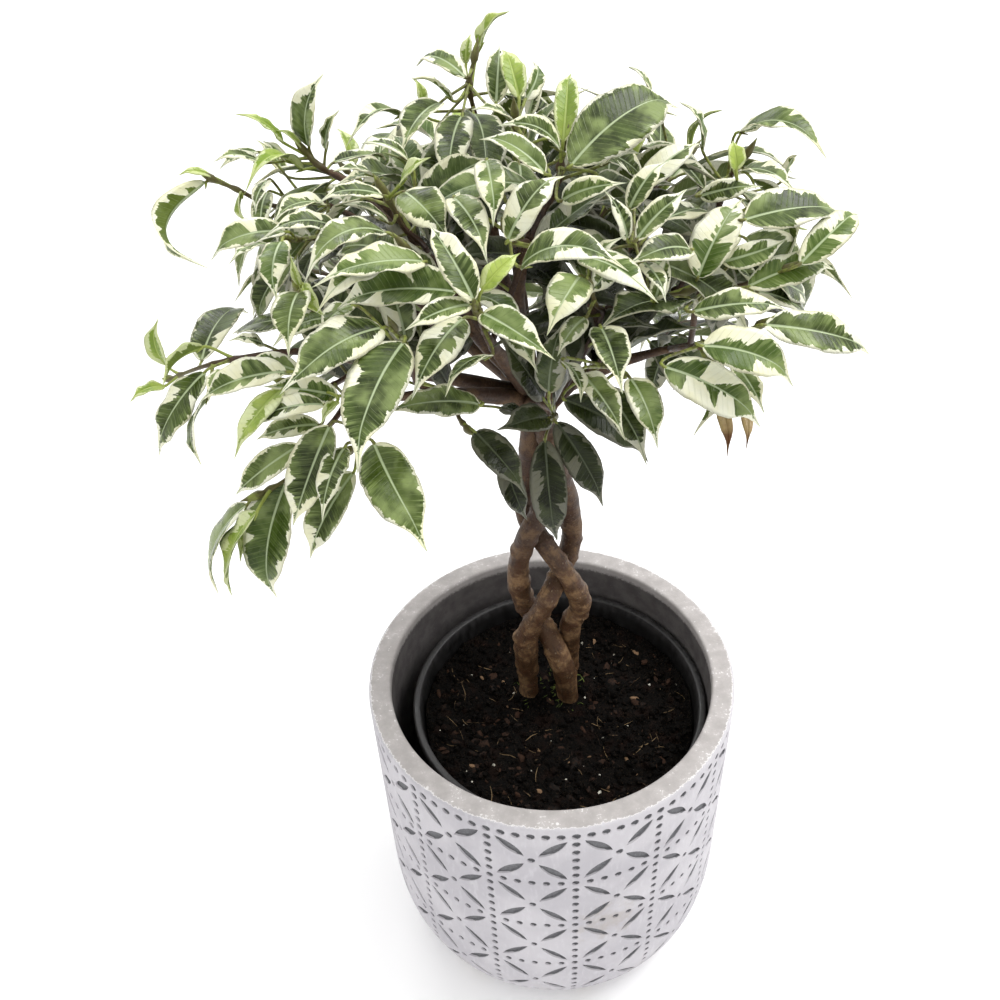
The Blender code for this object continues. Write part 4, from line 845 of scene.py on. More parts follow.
def turned(profile, angles, centre=(0.0, 0.0)):
    """Surface of revolution: a (radius, height) of the profile goes to (x + radius cos a,
    y + radius sin a, height) at each angle a."""
    radius, height = np.asarray(profile, float).T[:, :, None]
    across, along = centre[0] + radius * np.cos(angles), centre[1] + radius * np.sin(angles)
    return np.stack((across, along, np.broadcast_to(height, across.shape)), axis=-1)


def even_angles(count):
    return np.arange(count) * TAU / count


def ball_grid(rows, columns):
    """Ball of radius 1: (cos r cos a, cos r sin a, sin r) at each rise r and angle a."""
    rise = np.linspace(-np.pi / 2, np.pi / 2, rows)[:, None]
    turn = even_angles(columns)
    return np.stack((np.cos(rise) * np.cos(turn), np.cos(rise) * np.sin(turn),
                     np.sin(rise) * np.ones(columns)), axis=-1)


def rings_about(route, side, above, radius, sides):
    """Rings about routes: route + radius (cos a side + sin a above) at each angle a."""
    turn = even_angles(sides)[:, None]
    rings = np.cos(turn) * side[..., None, :] + np.sin(turn) * above[..., None, :]
    return route[..., None, :] + radius[..., None, None] * rings


def ended(rings):
    """Rings with a point in the middle of each end, which closes the bar."""
    low, high = (np.repeat(rings[..., k, :, :].mean(axis=-2, keepdims=True)[..., None, :, :],
                           rings.shape[-2], axis=-2) for k in (0, -1))
    return np.concatenate((low, rings, high), axis=-3)


def along_of(route):
    """Length along a route up to each of its points."""
    return np.concatenate(([0], np.cumsum(np.linalg.norm(np.diff(route, axis=0), axis=1))))


def rounded(corner, start, end, steps=5):
    """Points of a corner rounded off, by (1 - u)^2 start + 2 u (1 - u) corner + u^2 end."""
    u = np.linspace(0, 1, steps)[:, None]
    start, corner, end = np.array(start), np.array(corner), np.array(end)
    return (1 - u) ** 2 * start + 2 * u * (1 - u) * corner + u**2 * end


def between(start, end, steps):
    """Points of a straight run, without its two ends."""
    u = np.linspace(0, 1, steps + 2)[1:-1, None]
    return (1 - u) * np.array(start) + u * np.array(end)


def pot_side(arc):
    """Radius, height and outward normal of the pot's side at a distance down it from the rim.
    Below the straight part, the radius falls by a power of the share of the drop."""
    drop = np.linspace(0, POT_HEIGHT, 1501)
    bend = POT_HEIGHT - POT_STRAIGHT
    inset = POT_RADIUS - POT_FOOT_RADIUS
    share = np.maximum(drop - POT_STRAIGHT, 0) / bend
    radius = POT_RADIUS - inset * share**POT_BEND_POWER
    slope = -inset * POT_BEND_POWER * share ** (POT_BEND_POWER - 1) / bend
    length = np.concatenate(([0], np.cumsum(np.hypot(np.diff(drop), np.diff(radius)))))
    steep = np.interp(arc, length, slope)
    normal = np.stack((np.ones_like(steep), steep)) / np.hypot(1, steep)
    return np.interp(arc, length, radius), POT_HEIGHT - np.interp(arc, length, drop), normal


def widened(size, share, drop):
    """Breadth of a recess at a distance down the side: paint has filled the lower ones more."""
    return size * (1 + share * np.exp(-drop / WIDENING_FADE))


def dot_outlines(settings, centres, start):
    """Round outlines about centres, each with the smaller outline of its floor."""
    ring = even_angles(DOT_SIDES)
    circle = np.stack((np.cos(ring), np.sin(ring)), axis=1)
    pairs = []
    for centre in centres:
        radius = widened(settings.dot_radius / MM, DOT_WIDENING, start + centre[1])
        pairs.append((centre + circle * radius, centre + circle * (radius - RECESS_SLOPE)))
    return pairs


def petal_outlines(settings, centre, start):
    """Pointed ovals along a cell's diagonals: half width = half the breadth times sin(pi u)^0.8
    at a share u of the length."""
    half = widened(settings.petal_width / MM / 2, PETAL_WIDENING, start + centre[1])
    low, high = PETAL_REACH
    outlines = []
    for right, down in product((1, -1), repeat=2):
        way = unit(np.array((right * centre[0], down * centre[1])))
        side = np.array((-way[1], way[0]))
        pair = []
        for breadth, inset in ((half, 0.0), (half - RECESS_SLOPE, 2.2 * RECESS_SLOPE)):
            u = np.linspace(0, 1, PETAL_STEPS)
            along = low + inset + (high - low - 2 * inset) * u
            out = breadth * np.sin(np.pi * u) ** 0.8
            there = centre + way * along[:, None] + side * out[:, None]
            back = centre + way * along[:, None] - side * out[:, None]
            pair.append(np.vstack((there, back[-2:0:-1])))
        outlines.append(tuple(pair))
    return outlines


def wall_light_and_shade(outer, floor):
    """Recess value at a recess's edge, which paints light and shade on the wall: 0, the paint's
    colour, where the wall faces up to the right towards the light, and otherwise painted shade
    just short of the bare recess colour."""
    out = outer - floor
    facing = (out[:, 1] - out[:, 0]) / np.linalg.norm(out, axis=1)
    return np.where(facing > 0.7, 0.0, SHADED_WALL)


def within(points, ring):
    """Which points lie in a ring of points that bulges all round."""
    side = np.roll(ring, -1, axis=0) - ring
    way = points[:, None] - ring
    cross = side[:, 0] * way[..., 1] - side[:, 1] * way[..., 0]
    return (cross >= 0).all(axis=1) | (cross <= 0).all(axis=1)


def pattern_tile(outlines, width, drop, steps):
    """Flat tile cut into triangles along the outlines and evenly between them. It gives the tile's
    points, how far each lies down its recess and how bare it is coloured, both from 0 to 1, and
    the triangles. The colour value is bare cement on the recess floors, and on the walls painted
    light and shade: paint where a wall faces up to the right, nearly bare where it faces away."""
    left, top = TILE_CORNER
    across, down = np.linspace(0, width, steps[0] + 1), np.linspace(0, drop, steps[1] + 1)
    rim = [(x, y) for x in across for y in (0.0, drop)]
    rim += [(x, y) for y in down[1:-1] for x in (0.0, width)]
    points, depth, edges = [np.array(rim) + (left, top)], [np.zeros((len(rim), 2))], []
    first = len(rim)
    for pair in outlines:
        for level, ring in enumerate(pair):
            points.append(ring)
            tint = np.ones(len(ring)) if level else wall_light_and_shade(*pair)
            depth.append(np.stack((np.full(len(ring), float(level)), tint), axis=1))
            edges += [(first + k, first + (k + 1) % len(ring)) for k in range(len(ring))]
            first += len(ring)
    taken = np.vstack(points)
    i, j = np.mgrid[1 : steps[0], 1 : steps[1]]
    x = left + (i + 0.25 * (-1.0) ** j) * width / steps[0]
    free = np.stack((x.ravel(), top + j.ravel() * drop / steps[1]), axis=1)
    gaps = np.linalg.norm(free[:, None] - taken, axis=2).min(axis=1)
    taken_up = np.any([within(free, pair[0]) for pair in outlines], axis=0)
    free = free[(gaps > TILE_CLEARANCE) & ~taken_up]
    flat = np.vstack((taken, free))
    level = np.concatenate(depth + [np.zeros((len(free), 2))])
    spots, _, faces, origins, _, _ = delaunay_2d_cdt(flat.tolist(), edges, [], 0, 1e-6)
    return np.array(spots), level[[origin[0] for origin in origins]], np.array(faces)


def pot_pattern(settings):
    """Parts of the pot's side with its recesses: the tile repeated round and down the pot,
    and under it a row of dots. A point at (x, y) of the tile goes to the angle x / radius and
    the distance y down the side, and in along the normal by its depth."""
    width = TAU * POT_RADIUS / CELLS_ROUND
    across, down = width / DOTS_ACROSS, CELL_DROP / DOTS_DOWN
    row = [np.array((k * across, 0.0)) for k in range(DOTS_ACROSS)]
    column = [np.array((0.0, k * down)) for k in range(1, DOTS_DOWN)]
    centre = np.array((width, CELL_DROP)) / 2
    parts = []
    for number in range(CELLS_DOWN + 1):
        start = PATTERN_TOP + number * CELL_DROP
        if number < CELLS_DOWN:
            outlines = dot_outlines(settings, row + column + [centre], start)
            outlines += petal_outlines(settings, centre, start)
            drop, steps = CELL_DROP, CELL_STEPS
        else:
            outlines = dot_outlines(settings, row, start)
            drop, steps = -2 * TILE_CORNER[1], (CELL_STEPS[0], 2)
        spots, level, faces = pattern_tile(outlines, width, drop, steps)
        turn = np.arange(CELLS_ROUND)[:, None] * width
        angle = PATTERN_BEARING + (spots[:, 0] + turn) / POT_RADIUS
        radius, height, normal = pot_side(start + spots[:, 1])
        sunk = level[:, 0] * settings.recess_depth / MM
        radius, height = radius - normal[0] * sunk, height - normal[1] * sunk
        height = np.broadcast_to(height, angle.shape)
        points = np.stack((radius * np.cos(angle), radius * np.sin(angle), height), axis=-1)
        starts = np.arange(CELLS_ROUND)[:, None, None] * len(spots)
        faces = (faces[:, ::-1] + starts).reshape(-1, 3)
        recess = np.broadcast_to(level[:, 1], angle.shape).reshape(-1, 1)
        blank = np.zeros_like(recess)
        values = {"material": blank, "recess": recess, "zone": blank}
        parts.append((points.reshape(-1, 3), faces, values))
    return parts


def pot_rest(angles):
    """Parts of the pot beyond the pattern: the rim, inside and floor above it, and the plain
    band, foot and underside below it. Zone is 0 on the side, 1 on the rim and 2 inside."""
    inner = POT_RADIUS - POT_WALL
    top = PATTERN_TOP + TILE_CORNER[1]
    inside = np.array([(inner - inset, height) for height, inset in POT_INSIDE])
    wall = smooth_route(np.column_stack((inside, np.zeros(len(inside)))), 5)[:, :2]
    corner = (wall[-1, 0], POT_FLOOR)
    profile = [
        [(POT_RADIUS, POT_HEIGHT - top)],
        rounded((POT_RADIUS, POT_HEIGHT), (POT_RADIUS, POT_HEIGHT - POT_EDGE),
                (POT_RADIUS - POT_EDGE, POT_HEIGHT)),
        between((POT_RADIUS - POT_EDGE, POT_HEIGHT), (inner + POT_EDGE, POT_HEIGHT), 3),
        rounded((inner, POT_HEIGHT), (inner + POT_EDGE, POT_HEIGHT), wall[0]),
        wall[1:],
        rounded(corner, wall[-1], (corner[0] - 2, POT_FLOOR), 3)[1:],
        between((corner[0] - 2, POT_FLOOR), (0.0, POT_FLOOR), 6),
        [(0.0, POT_FLOOR)],
    ]
    profile = np.vstack(profile)
    length = along_of(profile)
    start = top - POT_EDGE
    rim = smoothstep(start + 0.5, start + 2.6, length)
    rim_end = start + 2 * POT_EDGE + POT_WALL
    zone = rim + smoothstep(rim_end - 1.6, rim_end + 1.0, length)
    upper = grid_part(turned(profile, angles), recess=0.0, zone=zone[:, None])
    low = PATTERN_TOP + CELLS_DOWN * CELL_DROP - TILE_CORNER[1]
    band = np.column_stack(pot_side(np.linspace(low, pot_side_length() - 1.6, 9))[:2])
    foot = rounded((POT_FOOT_RADIUS, 0.0), band[-1], (POT_FOOT_RADIUS - 1.6, 0.0))[1:]
    under = between((POT_FOOT_RADIUS - 1.6, 0.0), (0.0, 0.0), 7)
    profile = np.vstack((band, foot, under, [(0.0, 0.0)]))
    zone = np.concatenate((np.zeros(len(band)), np.linspace(0.3, 1, len(profile) - len(band))))
    lower = grid_part(turned(profile, angles), recess=0.0, zone=zone[:, None])
    return [upper, lower]


def pot_side_length():
    """Length of the pot's side from the rim down to the foot."""
    arc = np.linspace(0, 2 * POT_HEIGHT, 3001)
    return arc[np.argmin(pot_side(arc)[1])]


def settle(points):
    """Hand-made unevenness: the side stands in by up to 0.4 mm, and the rim dips as much."""
    points = points.copy()
    radius = np.linalg.norm(points[:, :2], axis=1)
    wave = 1 + ripple(points, 16.0, 5) / 2 + ripple(points, 5.0, 6) / 4
    points[:, :2] *= (1 - np.minimum(0.16 * wave, 0.4) / np.maximum(radius, 20.0))[:, None]
    points[:, 2] -= 0.12 * wave * smoothstep(145.0, 149.5, points[:, 2])
    return points


def build_planter(settings):
    """Cement cover pot, with its sunk pattern repeated round its side."""
    width = TAU * POT_RADIUS / CELLS_ROUND
    steps = np.arange(CELLS_ROUND * CELL_STEPS[0]) * width / CELL_STEPS[0]
    angles = PATTERN_BEARING + (TILE_CORNER[0] + steps) / POT_RADIUS
    upper, lower = pot_rest(angles)
    parts = [(settle(points), faces, values) for points, faces, values in
             [upper, *pot_pattern(settings), lower]]
    make_piece("cement_cover_pot", parts, [cement_finish(settings)], ["planter"], 38.0)


def nursery_wall_radius(height):
    """Outer radius of the nursery pot's tapered wall at a height above the floor."""
    share = (height - POT_FLOOR - GAP) / NURSERY_HEIGHT
    top = NURSERY_RIM_RADIUS - NURSERY_LIP
    return NURSERY_FOOT_RADIUS + (top - NURSERY_FOOT_RADIUS) * share


def drain_places():
    """Middles of the drainage holes, from the middle of the floor."""
    turns = even_angles(DRAIN_COUNT)
    return DRAIN_RING * np.stack((np.cos(turns), np.sin(turns)), axis=1)


def drained_disc(height, angles, radius):
    """Flat round floor with its drainage holes, cut into triangles between its edge, the holes
    and a ring round each hole."""
    edge = np.stack((np.cos(angles), np.sin(angles)), axis=1) * radius
    circle = np.stack((np.cos(angles[::8]), np.sin(angles[::8])), axis=1)
    rings, edges, first = [edge], [], len(edge)
    for centre in drain_places():
        rings.append(centre + circle * DRAIN_RADIUS)
        edges += [(first + i, first + (i + 1) % len(circle)) for i in range(len(circle))]
        first += len(circle)
    rings.append(circle * 12.0)
    mesh = delaunay_2d_cdt(np.vstack(rings).tolist(), edges, [], 0, 1e-6)
    spots, faces = np.array(mesh[0]), np.array(mesh[2])
    gaps = np.linalg.norm(spots[faces].mean(axis=1)[:, None] - drain_places(), axis=2)
    open_holes = gaps.min(axis=1) < DRAIN_RADIUS
    points = np.column_stack((spots + NURSERY_CENTRE, np.full(len(spots), height)))
    return points, faces[~open_holes]


def build_nursery_pot(settings):
    """Thin tapered pot with a turned-out, rounded lip and drainage holes."""
    angles = even_angles(NURSERY_SIDES)
    foot = POT_FLOOR + GAP
    rim = foot + NURSERY_HEIGHT
    lip = rim - NURSERY_LIP_HEIGHT
    inside = foot + NURSERY_WALL
    outer, inner = NURSERY_RIM_RADIUS, nursery_wall_radius(rim) - NURSERY_WALL
    heights = np.linspace(foot, lip, 16)
    wall = np.column_stack((nursery_wall_radius(heights), heights))
    heights = np.linspace(rim - 1.0, inside, 14)
    back = np.column_stack((nursery_wall_radius(heights) - NURSERY_WALL, heights))
    profile = [wall, between(wall[-1], (outer - 0.3, lip), 1),
               rounded((outer, lip), (outer - 0.3, lip), (outer, lip + 0.5), 3),
               rounded((outer, rim), (outer, rim - 0.9), (outer - 0.9, rim), 4),
               rounded((inner, rim), (inner + 0.8, rim), (inner, rim - 1.0), 4)[:-1], back]
    shell = grid_part(turned(np.vstack(profile), angles, NURSERY_CENTRE))
    below, below_faces = drained_disc(foot, angles, wall[0, 0])
    above, above_faces = drained_disc(inside, angles, back[-1, 0])
    parts = [shell]
    for points, faces in ((below, below_faces[:, ::-1]), (above, above_faces)):
        parts.append((points, faces, {"material": np.zeros((len(points), 1))}))
    for centre in drain_places() + NURSERY_CENTRE:
        hole = turned([(DRAIN_RADIUS, foot), (DRAIN_RADIUS, inside)], angles[::8], centre)
        points, faces, values = grid_part(hole)
        parts.append((points, faces[:, ::-1], values))
    make_piece("dark_nursery_pot", parts, [plastic_finish(settings)],
               ["nursery_pot"], 40.0)


def soil_height(across, along):
    """Height of the soil: gently uneven as in the solid, heaped a little round the stems, and
    crumbly at three finer scales."""
    waves = np.sin(across / 9.0 + 1.0) * np.cos(along / 11.0)
    height = SOIL_LEVEL + SOIL_SWELL * (waves + 0.5 * np.sin((across + along) / 5.0)) / 1.5
    spots = np.stack((across, along, np.zeros_like(across)), axis=-1)
    for size, rise, seed in ((5.5, 1.6, 10), (2.6, 1.4, 11), (1.3, 0.9, 12), (0.7, 0.4, 13)):
        height = height + rise * (np.abs(ripple(spots, size, seed)) - 0.6)
    for foot in STEM_FEET:
        gap = np.hypot(across - foot[0], along - foot[1])
        height = height + 1.3 * np.exp(-((gap / 9.0) ** 2))
    gap = np.hypot(across - NURSERY_CENTRE[0], along - NURSERY_CENTRE[1])
    return height + 2.4 * smoothstep(soil_radius(SOIL_LEVEL) - 15.0, soil_radius(SOIL_LEVEL), gap)


def soil_radius(height):
    return nursery_wall_radius(height) - NURSERY_WALL - GAP


def scattered(random, count, reach, clear=6.0):
    """Random places on the soil, apart from where the stems stand, with their heights."""
    radius = reach * np.sqrt(random.uniform(0, 1, 3 * count))
    turn = random.uniform(0, TAU, 3 * count)
    across = NURSERY_CENTRE[0] + radius * np.cos(turn)
    along = NURSERY_CENTRE[1] + radius * np.sin(turn)
    feet = np.array(STEM_FEET)
    gaps = np.hypot(across[:, None] - feet[:, 0], along[:, None] - feet[:, 1]).min(axis=1)
    across, along = across[gaps > clear][:count], along[gaps > clear][:count]
    return np.stack((across, along, soil_height(across, along)), axis=1)


def turns_about(axes, angles):
    """Rotation matrices: 1 + sin(angle) K + (1 - cos(angle)) K K, where K is the matrix that
    gives the cross product of the axis with a vector."""
    cross = np.cross(np.eye(3), axes[:, None])
    sine, cosine = np.sin(angles)[:, None, None], np.cos(angles)[:, None, None]
    return np.eye(3) + sine * cross + (1 - cosine) * cross @ cross


def random_turns(random, count, tilt):
    """Rotation matrices: a random turn about +Z, then a random lean of up to a tilt."""
    turn, lean, way = (random.uniform(-1, 1, count) * k for k in (np.pi, tilt, np.pi))
    axes = np.stack((np.cos(way), np.sin(way), np.zeros(count)), axis=1)
    return turns_about(axes, lean) @ turns_about(np.tile(UP, (count, 1)), turn)


def strewn(random, shapes, places, tilt, material):
    """Shapes turned, leant by up to a tilt, each put in its place and given its own shade."""
    turns = random_turns(random, len(places), tilt)
    points = np.einsum("nab,nrcb->nrca", turns, shapes) + places[:, None, None]
    shade = random.uniform(0, 1, (len(places), 1, 1))
    return grid_part(points, material=material, shade=shade)


def crumbs(random, places, sizes, tilt, rough, material):
    """Small stones or chips: closed grids of 5 by 6 points on a ball, each stretched to its
    size, made uneven by a random share and turned."""
    count = len(places)
    uneven = 1 + rough * random.uniform(-1, 1, (count, 5, 6, 1))
    uneven[:, (0, -1)] = 1.0
    shapes = ball_grid(5, 6) * uneven * sizes[:, None, None] / 2
    return strewn(random, shapes, places, tilt, material)


def fibres(random, places, lengths, thick, material):
    """Root fibres and splinters: three-sided threads along x = length (u - 1/2), bent sideways
    by a sine of u and lifted at one end, thinning to both ends."""
    count, steps = len(places), 7
    u = np.linspace(0, 1, steps)
    bend = random.uniform(-0.13, 0.13, (count, 1)) * lengths[:, None]
    lift = random.uniform(0.0, 0.35, (count, 1)) * lengths[:, None]
    sway = random.uniform(0.6, 1.6, (count, 1)) * np.pi
    route = np.stack((lengths[:, None] * (u - 0.5), bend * np.sin(sway * u), lift * u**2), -1)
    radius = thick[:, None] * (0.35 + np.sin(np.pi * np.clip(u, 0.02, 0.98)))
    tangent = units(np.gradient(route, axis=1))
    side = units(np.cross(tangent, UP))
    above = np.cross(side, tangent)
    rings = ended(rings_about(route, side, above, radius, 3))
    return strewn(random, rings, places, 0.25, material)


def build_soil(settings):
    """Crumbly soil, with bark chips, white grains, fibres and a little moss on it."""
    random = np.random.default_rng(SEED + 1)
    angles = even_angles(SOIL_SIDES)
    reach = soil_radius(SOIL_LEVEL) - GAP
    radii = np.linspace(0, 1, SOIL_RINGS + 1) ** 0.8 * reach
    top = turned(np.column_stack((radii, np.zeros(len(radii)))), angles, NURSERY_CENTRE)
    top[..., 2] = soil_height(top[..., 0], top[..., 1])
    bottom = POT_FLOOR + GAP + NURSERY_WALL + GAP
    heights = np.linspace(SOIL_LEVEL - 4, bottom, 5)
    sides = [(soil_radius(height), height) for height in heights]
    rest = turned(sides + [(0.0, bottom)], angles, NURSERY_CENTRE)
    ground = grid_part(np.concatenate((top, rest)), shade=0.5)
    chips = scattered(random, settings.chips, reach - 2)
    long = 1.2 + 5.5 * random.uniform(0, 1, len(chips)) ** 2
    sizes = np.stack((long, long * random.uniform(0.3, 0.7, len(chips)),
                      random.uniform(0.5, 1.6, len(chips))), axis=1)
    grains = scattered(random, settings.grains, reach - 2)
    grain_sizes = random.uniform(0.4, 1.7, (len(grains), 1)) * random.uniform(
        0.7, 1.0, (len(grains), 3))
    clods = scattered(random, settings.clods, reach - 1)
    clod_sizes = (0.9 + 3.8 * random.uniform(0, 1, (len(clods), 1)) ** 2) * random.uniform(
        0.6, 1.0, (len(clods), 3))
    threads = scattered(random, settings.fibres, reach - 4) + UP * 0.3
    feet = np.array(STEM_FEET)[random.integers(0, 3, settings.moss)]
    away = random.uniform(0, TAU, settings.moss)
    far = random.uniform(5.0, 8.5, settings.moss)
    across, along = feet[:, 0] + far * np.cos(away), feet[:, 1] + far * np.sin(away)
    tufts = np.stack((across, along, soil_height(across, along) + 0.4), axis=1)
    parts = [
        ground,
        crumbs(random, clods, clod_sizes, 1.0, 0.3, 0),
        crumbs(random, chips, sizes, 0.5, 0.25, 1),
        crumbs(random, grains, grain_sizes, 1.5, 0.35, 2),
        fibres(random, threads, random.uniform(2.0, 9.5, len(threads)),
               random.uniform(0.07, 0.2, len(threads)), 3),
        fibres(random, tufts, random.uniform(1.2, 3.0, len(tufts)),
               random.uniform(0.10, 0.2, len(tufts)), 4),
    ]
    make_piece("potting_soil", parts, soil_finishes(settings), ["soil"], 50.0)


@cache
def grown_tree():
    """Wood, twigs and their ways, and the leaves of each spray."""
    wood, twigs, ways = grow_wood_and_twigs()
    return wood, twigs, ways, grow_leaves(wood, twigs)


def filling_leaves(count):
    """More leaves for the inside of the crown, on the spurs and twigs, clear of the others. On
    the near side they stay well inside the dome, so that they hide none of those in front."""
    wood, twigs, ways, leaves = grown_tree()
    random = np.random.default_rng(SEED + 3)
    thicket = Thicket(wood, twigs)
    for leaf in sum(leaves.values(), []):
        thicket.add(leaf_solid(leaf), BLADE)
    places = {name: smooth_route(way, 6)[2:-2] for name, way in ways.items()}
    names = list(places)
    more = {name: [] for name in names}

    def placed(name, leaf):
        """Whether a leaf is clear of the others, and so takes its place."""
        clear = not thicket.met_by(leaf_solid(leaf, FILLER_GAP, stalked=False))
        clear = clear and thicket.met_by(leaf_solid(leaf)) <= {"wood", name}
        if clear:
            thicket.add(leaf_solid(leaf), BLADE)
            more[name].append(leaf)
        return clear

    for seen in MORE_SEEN:
        spot = on_dome(seen.base, seen.share)
        name = min(names, key=lambda key: np.linalg.norm(places[key] - spot, axis=1).min())
        for leaf in seen_candidates(seen, places[name]):
            if placed(name, leaf):
                break
    for _ in range(FILLER_TRIES * count):
        name = names[random.integers(len(names))]
        way = places[name]
        spot = random.integers(1, len(way) - 1)
        root, along = way[spot], unit(way[spot + 1] - way[spot - 1])
        out, stray = outward(root), random.normal(size=3)
        aim = along * FILLER_ALONG + out * FILLER_OUT - UP * FILLER_DROOP
        aim = unit(aim + stray * FILLER_STRAY)
        start = root + unit(aim + along / 2) * random.uniform(*FILLER_STALK)
        tip = start + aim * random.uniform(*FILLER_LENGTH)
        near = (tip - CROWN_CENTRE) @ FORWARD < FILLER_NEAR
        reach = FILLER_NEAR_REACH if near else FILLER_FAR_REACH
        if dome_share(tip) > reach or near and pixel_row(tip) > FILLER_LOWEST_ROW:
            continue
        face = UP + out / 2 - FORWARD / 2 + random.normal(size=3) * 0.4
        leaf = leaf_between(start, tip, root, face, 0.0, LEAF_ARCH * random.uniform(*GROWN_ARCH),
                            random.uniform(*GROWN_BREADTH), False)
        if placed(name, leaf) and sum(map(len, more.values())) == count + len(MORE_SEEN):
            break
    return more


def swept(route, radius, sides):
    """Rings about a route: centre + radius (cos a side + sin a above), the side carried along
    with the least turning. A radius may differ for each point of a ring."""
    rings = rings_round(route, np.ones(len(route)), sides) - route[:, None]
    return route[:, None] + rings * radius[..., None]


def bark_part(route, radii, sides, seed, lumps, shade):
    """Part of the wood along a route. Its radius runs evenly between two values, and swells by
    slow waves, by ridges where leaves once grew, by fine rings, and at knots. The grain is a
    point's place round and along the wood, for the bark's pattern. The shade is the part's painted
    shade, the same all along it."""
    random = np.random.default_rng(seed)
    along = along_of(route)
    base = np.linspace(*radii, len(route))[:, None]
    turn = even_angles(sides)
    middle = np.column_stack((along, np.zeros((len(along), 2))))[:, None]
    round_about = np.stack((np.zeros(sides), np.cos(turn), np.sin(turn)), axis=-1) * 4.0
    wave = ripple(middle + round_about, 7.0, seed) * 0.12 * lumps
    wave = wave + ripple(middle * (1, 0, 0) + round_about / 3, 2.8, seed + 1) * 0.035 * lumps
    scars = np.zeros((len(route), sides))
    spot = random.uniform(3, 8)
    while spot < along[-1]:
        facing = np.cos(turn - random.uniform(0, TAU)) * 0.5 + 0.5
        scars += 0.15 * lumps * swelling(along[:, None], spot, 0.9) * facing
        spot += random.uniform(4, 10)
    fine = 0.006 * np.sin(along[:, None] * 5.2 + 1.5 * np.sin(turn * 2 + along[:, None] * 0.3))
    radius = base * (1 + wave + scars + fine)
    rings = swept(route, radius, sides)
    for knot, height, breadth in KNOTS:
        near = np.exp(-np.sum((rings - at_depth(knot)) ** 2, axis=-1) / breadth**2)
        rings += units(rings - route[:, None]) * (near * height)[..., None]
    grain = np.stack(np.broadcast_arrays(np.cos(turn) * base, np.sin(turn) * base,
                                         along[:, None] + seed * 37.0), axis=-1)
    grain = np.concatenate((grain[:1], grain, grain[-1:]))
    return grid_part(ended(rings), grain=grain, shade=shade)


def build_wood(settings):
    """Plaited stems, the head where they meet, branches, and a spur for each leafy twig."""
    ways = grown_tree()[2]
    parts = []
    # Each part's last value is its painted shade: none on the stems, more on the branches, most on
    # the spurs
    for k, (route, foot) in enumerate(zip(STEM_ROUTES, STEM_FEET)):
        points = smooth_route([(*foot, SOIL_LEVEL), *map(at_depth, route)], STEM_STEPS)
        low = np.linspace((*foot, SOIL_LEVEL - STEM_SINK), points[0], 5)[:-1]
        points, radii = np.vstack((low, points)), np.array(STEM_RADII) * STEM_SLIM
        parts.append(bark_part(points, radii, STEM_ROUND, 20 + k, settings.lumps, 0.0))
    for k, route in enumerate(BRANCH_ROUTES):
        points = smooth_route(list(map(at_depth, route)), BRANCH_STEPS)
        radii = np.multiply(BRANCH_RADII, (BRANCH_SLIM, BRANCH_END))
        parts.append(bark_part(points, radii, BRANCH_ROUND, 30 + k, settings.lumps, 0.5))
    for k, way in enumerate(ways.values()):
        points, radii = (run[: TWIG_STEPS + 1] for run in twig_run(way))
        parts.append(bark_part(points, radii[[0, -1]], TWIG_ROUND, 60 + k, 0.8, 0.8))
    parts.append(trunk_head())
    make_piece("plaited_wood", parts, [bark_finish(settings)], ["trunk"])


def trunk_head():
    """Knobbly head of the trunk: a ball of the head's radii, swollen by ripples."""
    ball = ball_grid(17, 24)
    swell = 1 + 0.16 * ripple(ball, 0.55, 90)[..., None]
    swell[(0, -1), :] = 1.0
    grain = ball * HEAD_RADII
    centre = np.mean([at_depth(route[-1]) for route in STEM_ROUTES], axis=0)
    # The head gets a little painted shade
    return grid_part(centre + grain * swell, grain=grain, shade=0.3)


def twig_run(way):
    """Points and radii of a spur and of the twig that carries on from it."""
    points = smooth_route(way, TWIG_STEPS)
    return points, np.linspace(SPUR_RADIUS, TWIG_RADIUS, len(points)) * TWIG_SLIM


def twig_part(way, leaves):
    """A leafy twig from the end of its spur: round, thinning, a little swollen where each
    leaf's stalk springs, and drawn out at its end into a pointed bud."""
    points, radii = (run[TWIG_STEPS:] for run in twig_run(way))
    for leaf in leaves:
        gap = np.linalg.norm(points - leaf.root, axis=1)
        radii = radii + 0.22 * np.exp(-((gap / 1.3) ** 2))
    end = unit(points[-1] - points[-3])
    share = np.linspace(0, 1, 6)[1:]
    bud = points[-1] + end * (BUD_LENGTH * share)[:, None] + UP * (1.2 * share**2)[:, None]
    swell = 1.25 * TWIG_RADIUS * (1 - share**1.6) * (1 + 0.5 * np.sin(np.pi * share))
    points, radii = np.vstack((points, bud)), np.concatenate((radii, swell))
    along = along_of(points)
    ripe = (along / along[-1])[:, None]
    ripe = np.concatenate((ripe[:1], ripe, ripe[-1:]))
    rings = ended(swept(points, np.repeat(radii[:, None], TWIG_ROUND, axis=1), TWIG_ROUND))
    blank = np.zeros_like(rings)
    return grid_part(rings, material=1, blade=blank, traits=blank, wear=blank, ripe=ripe)


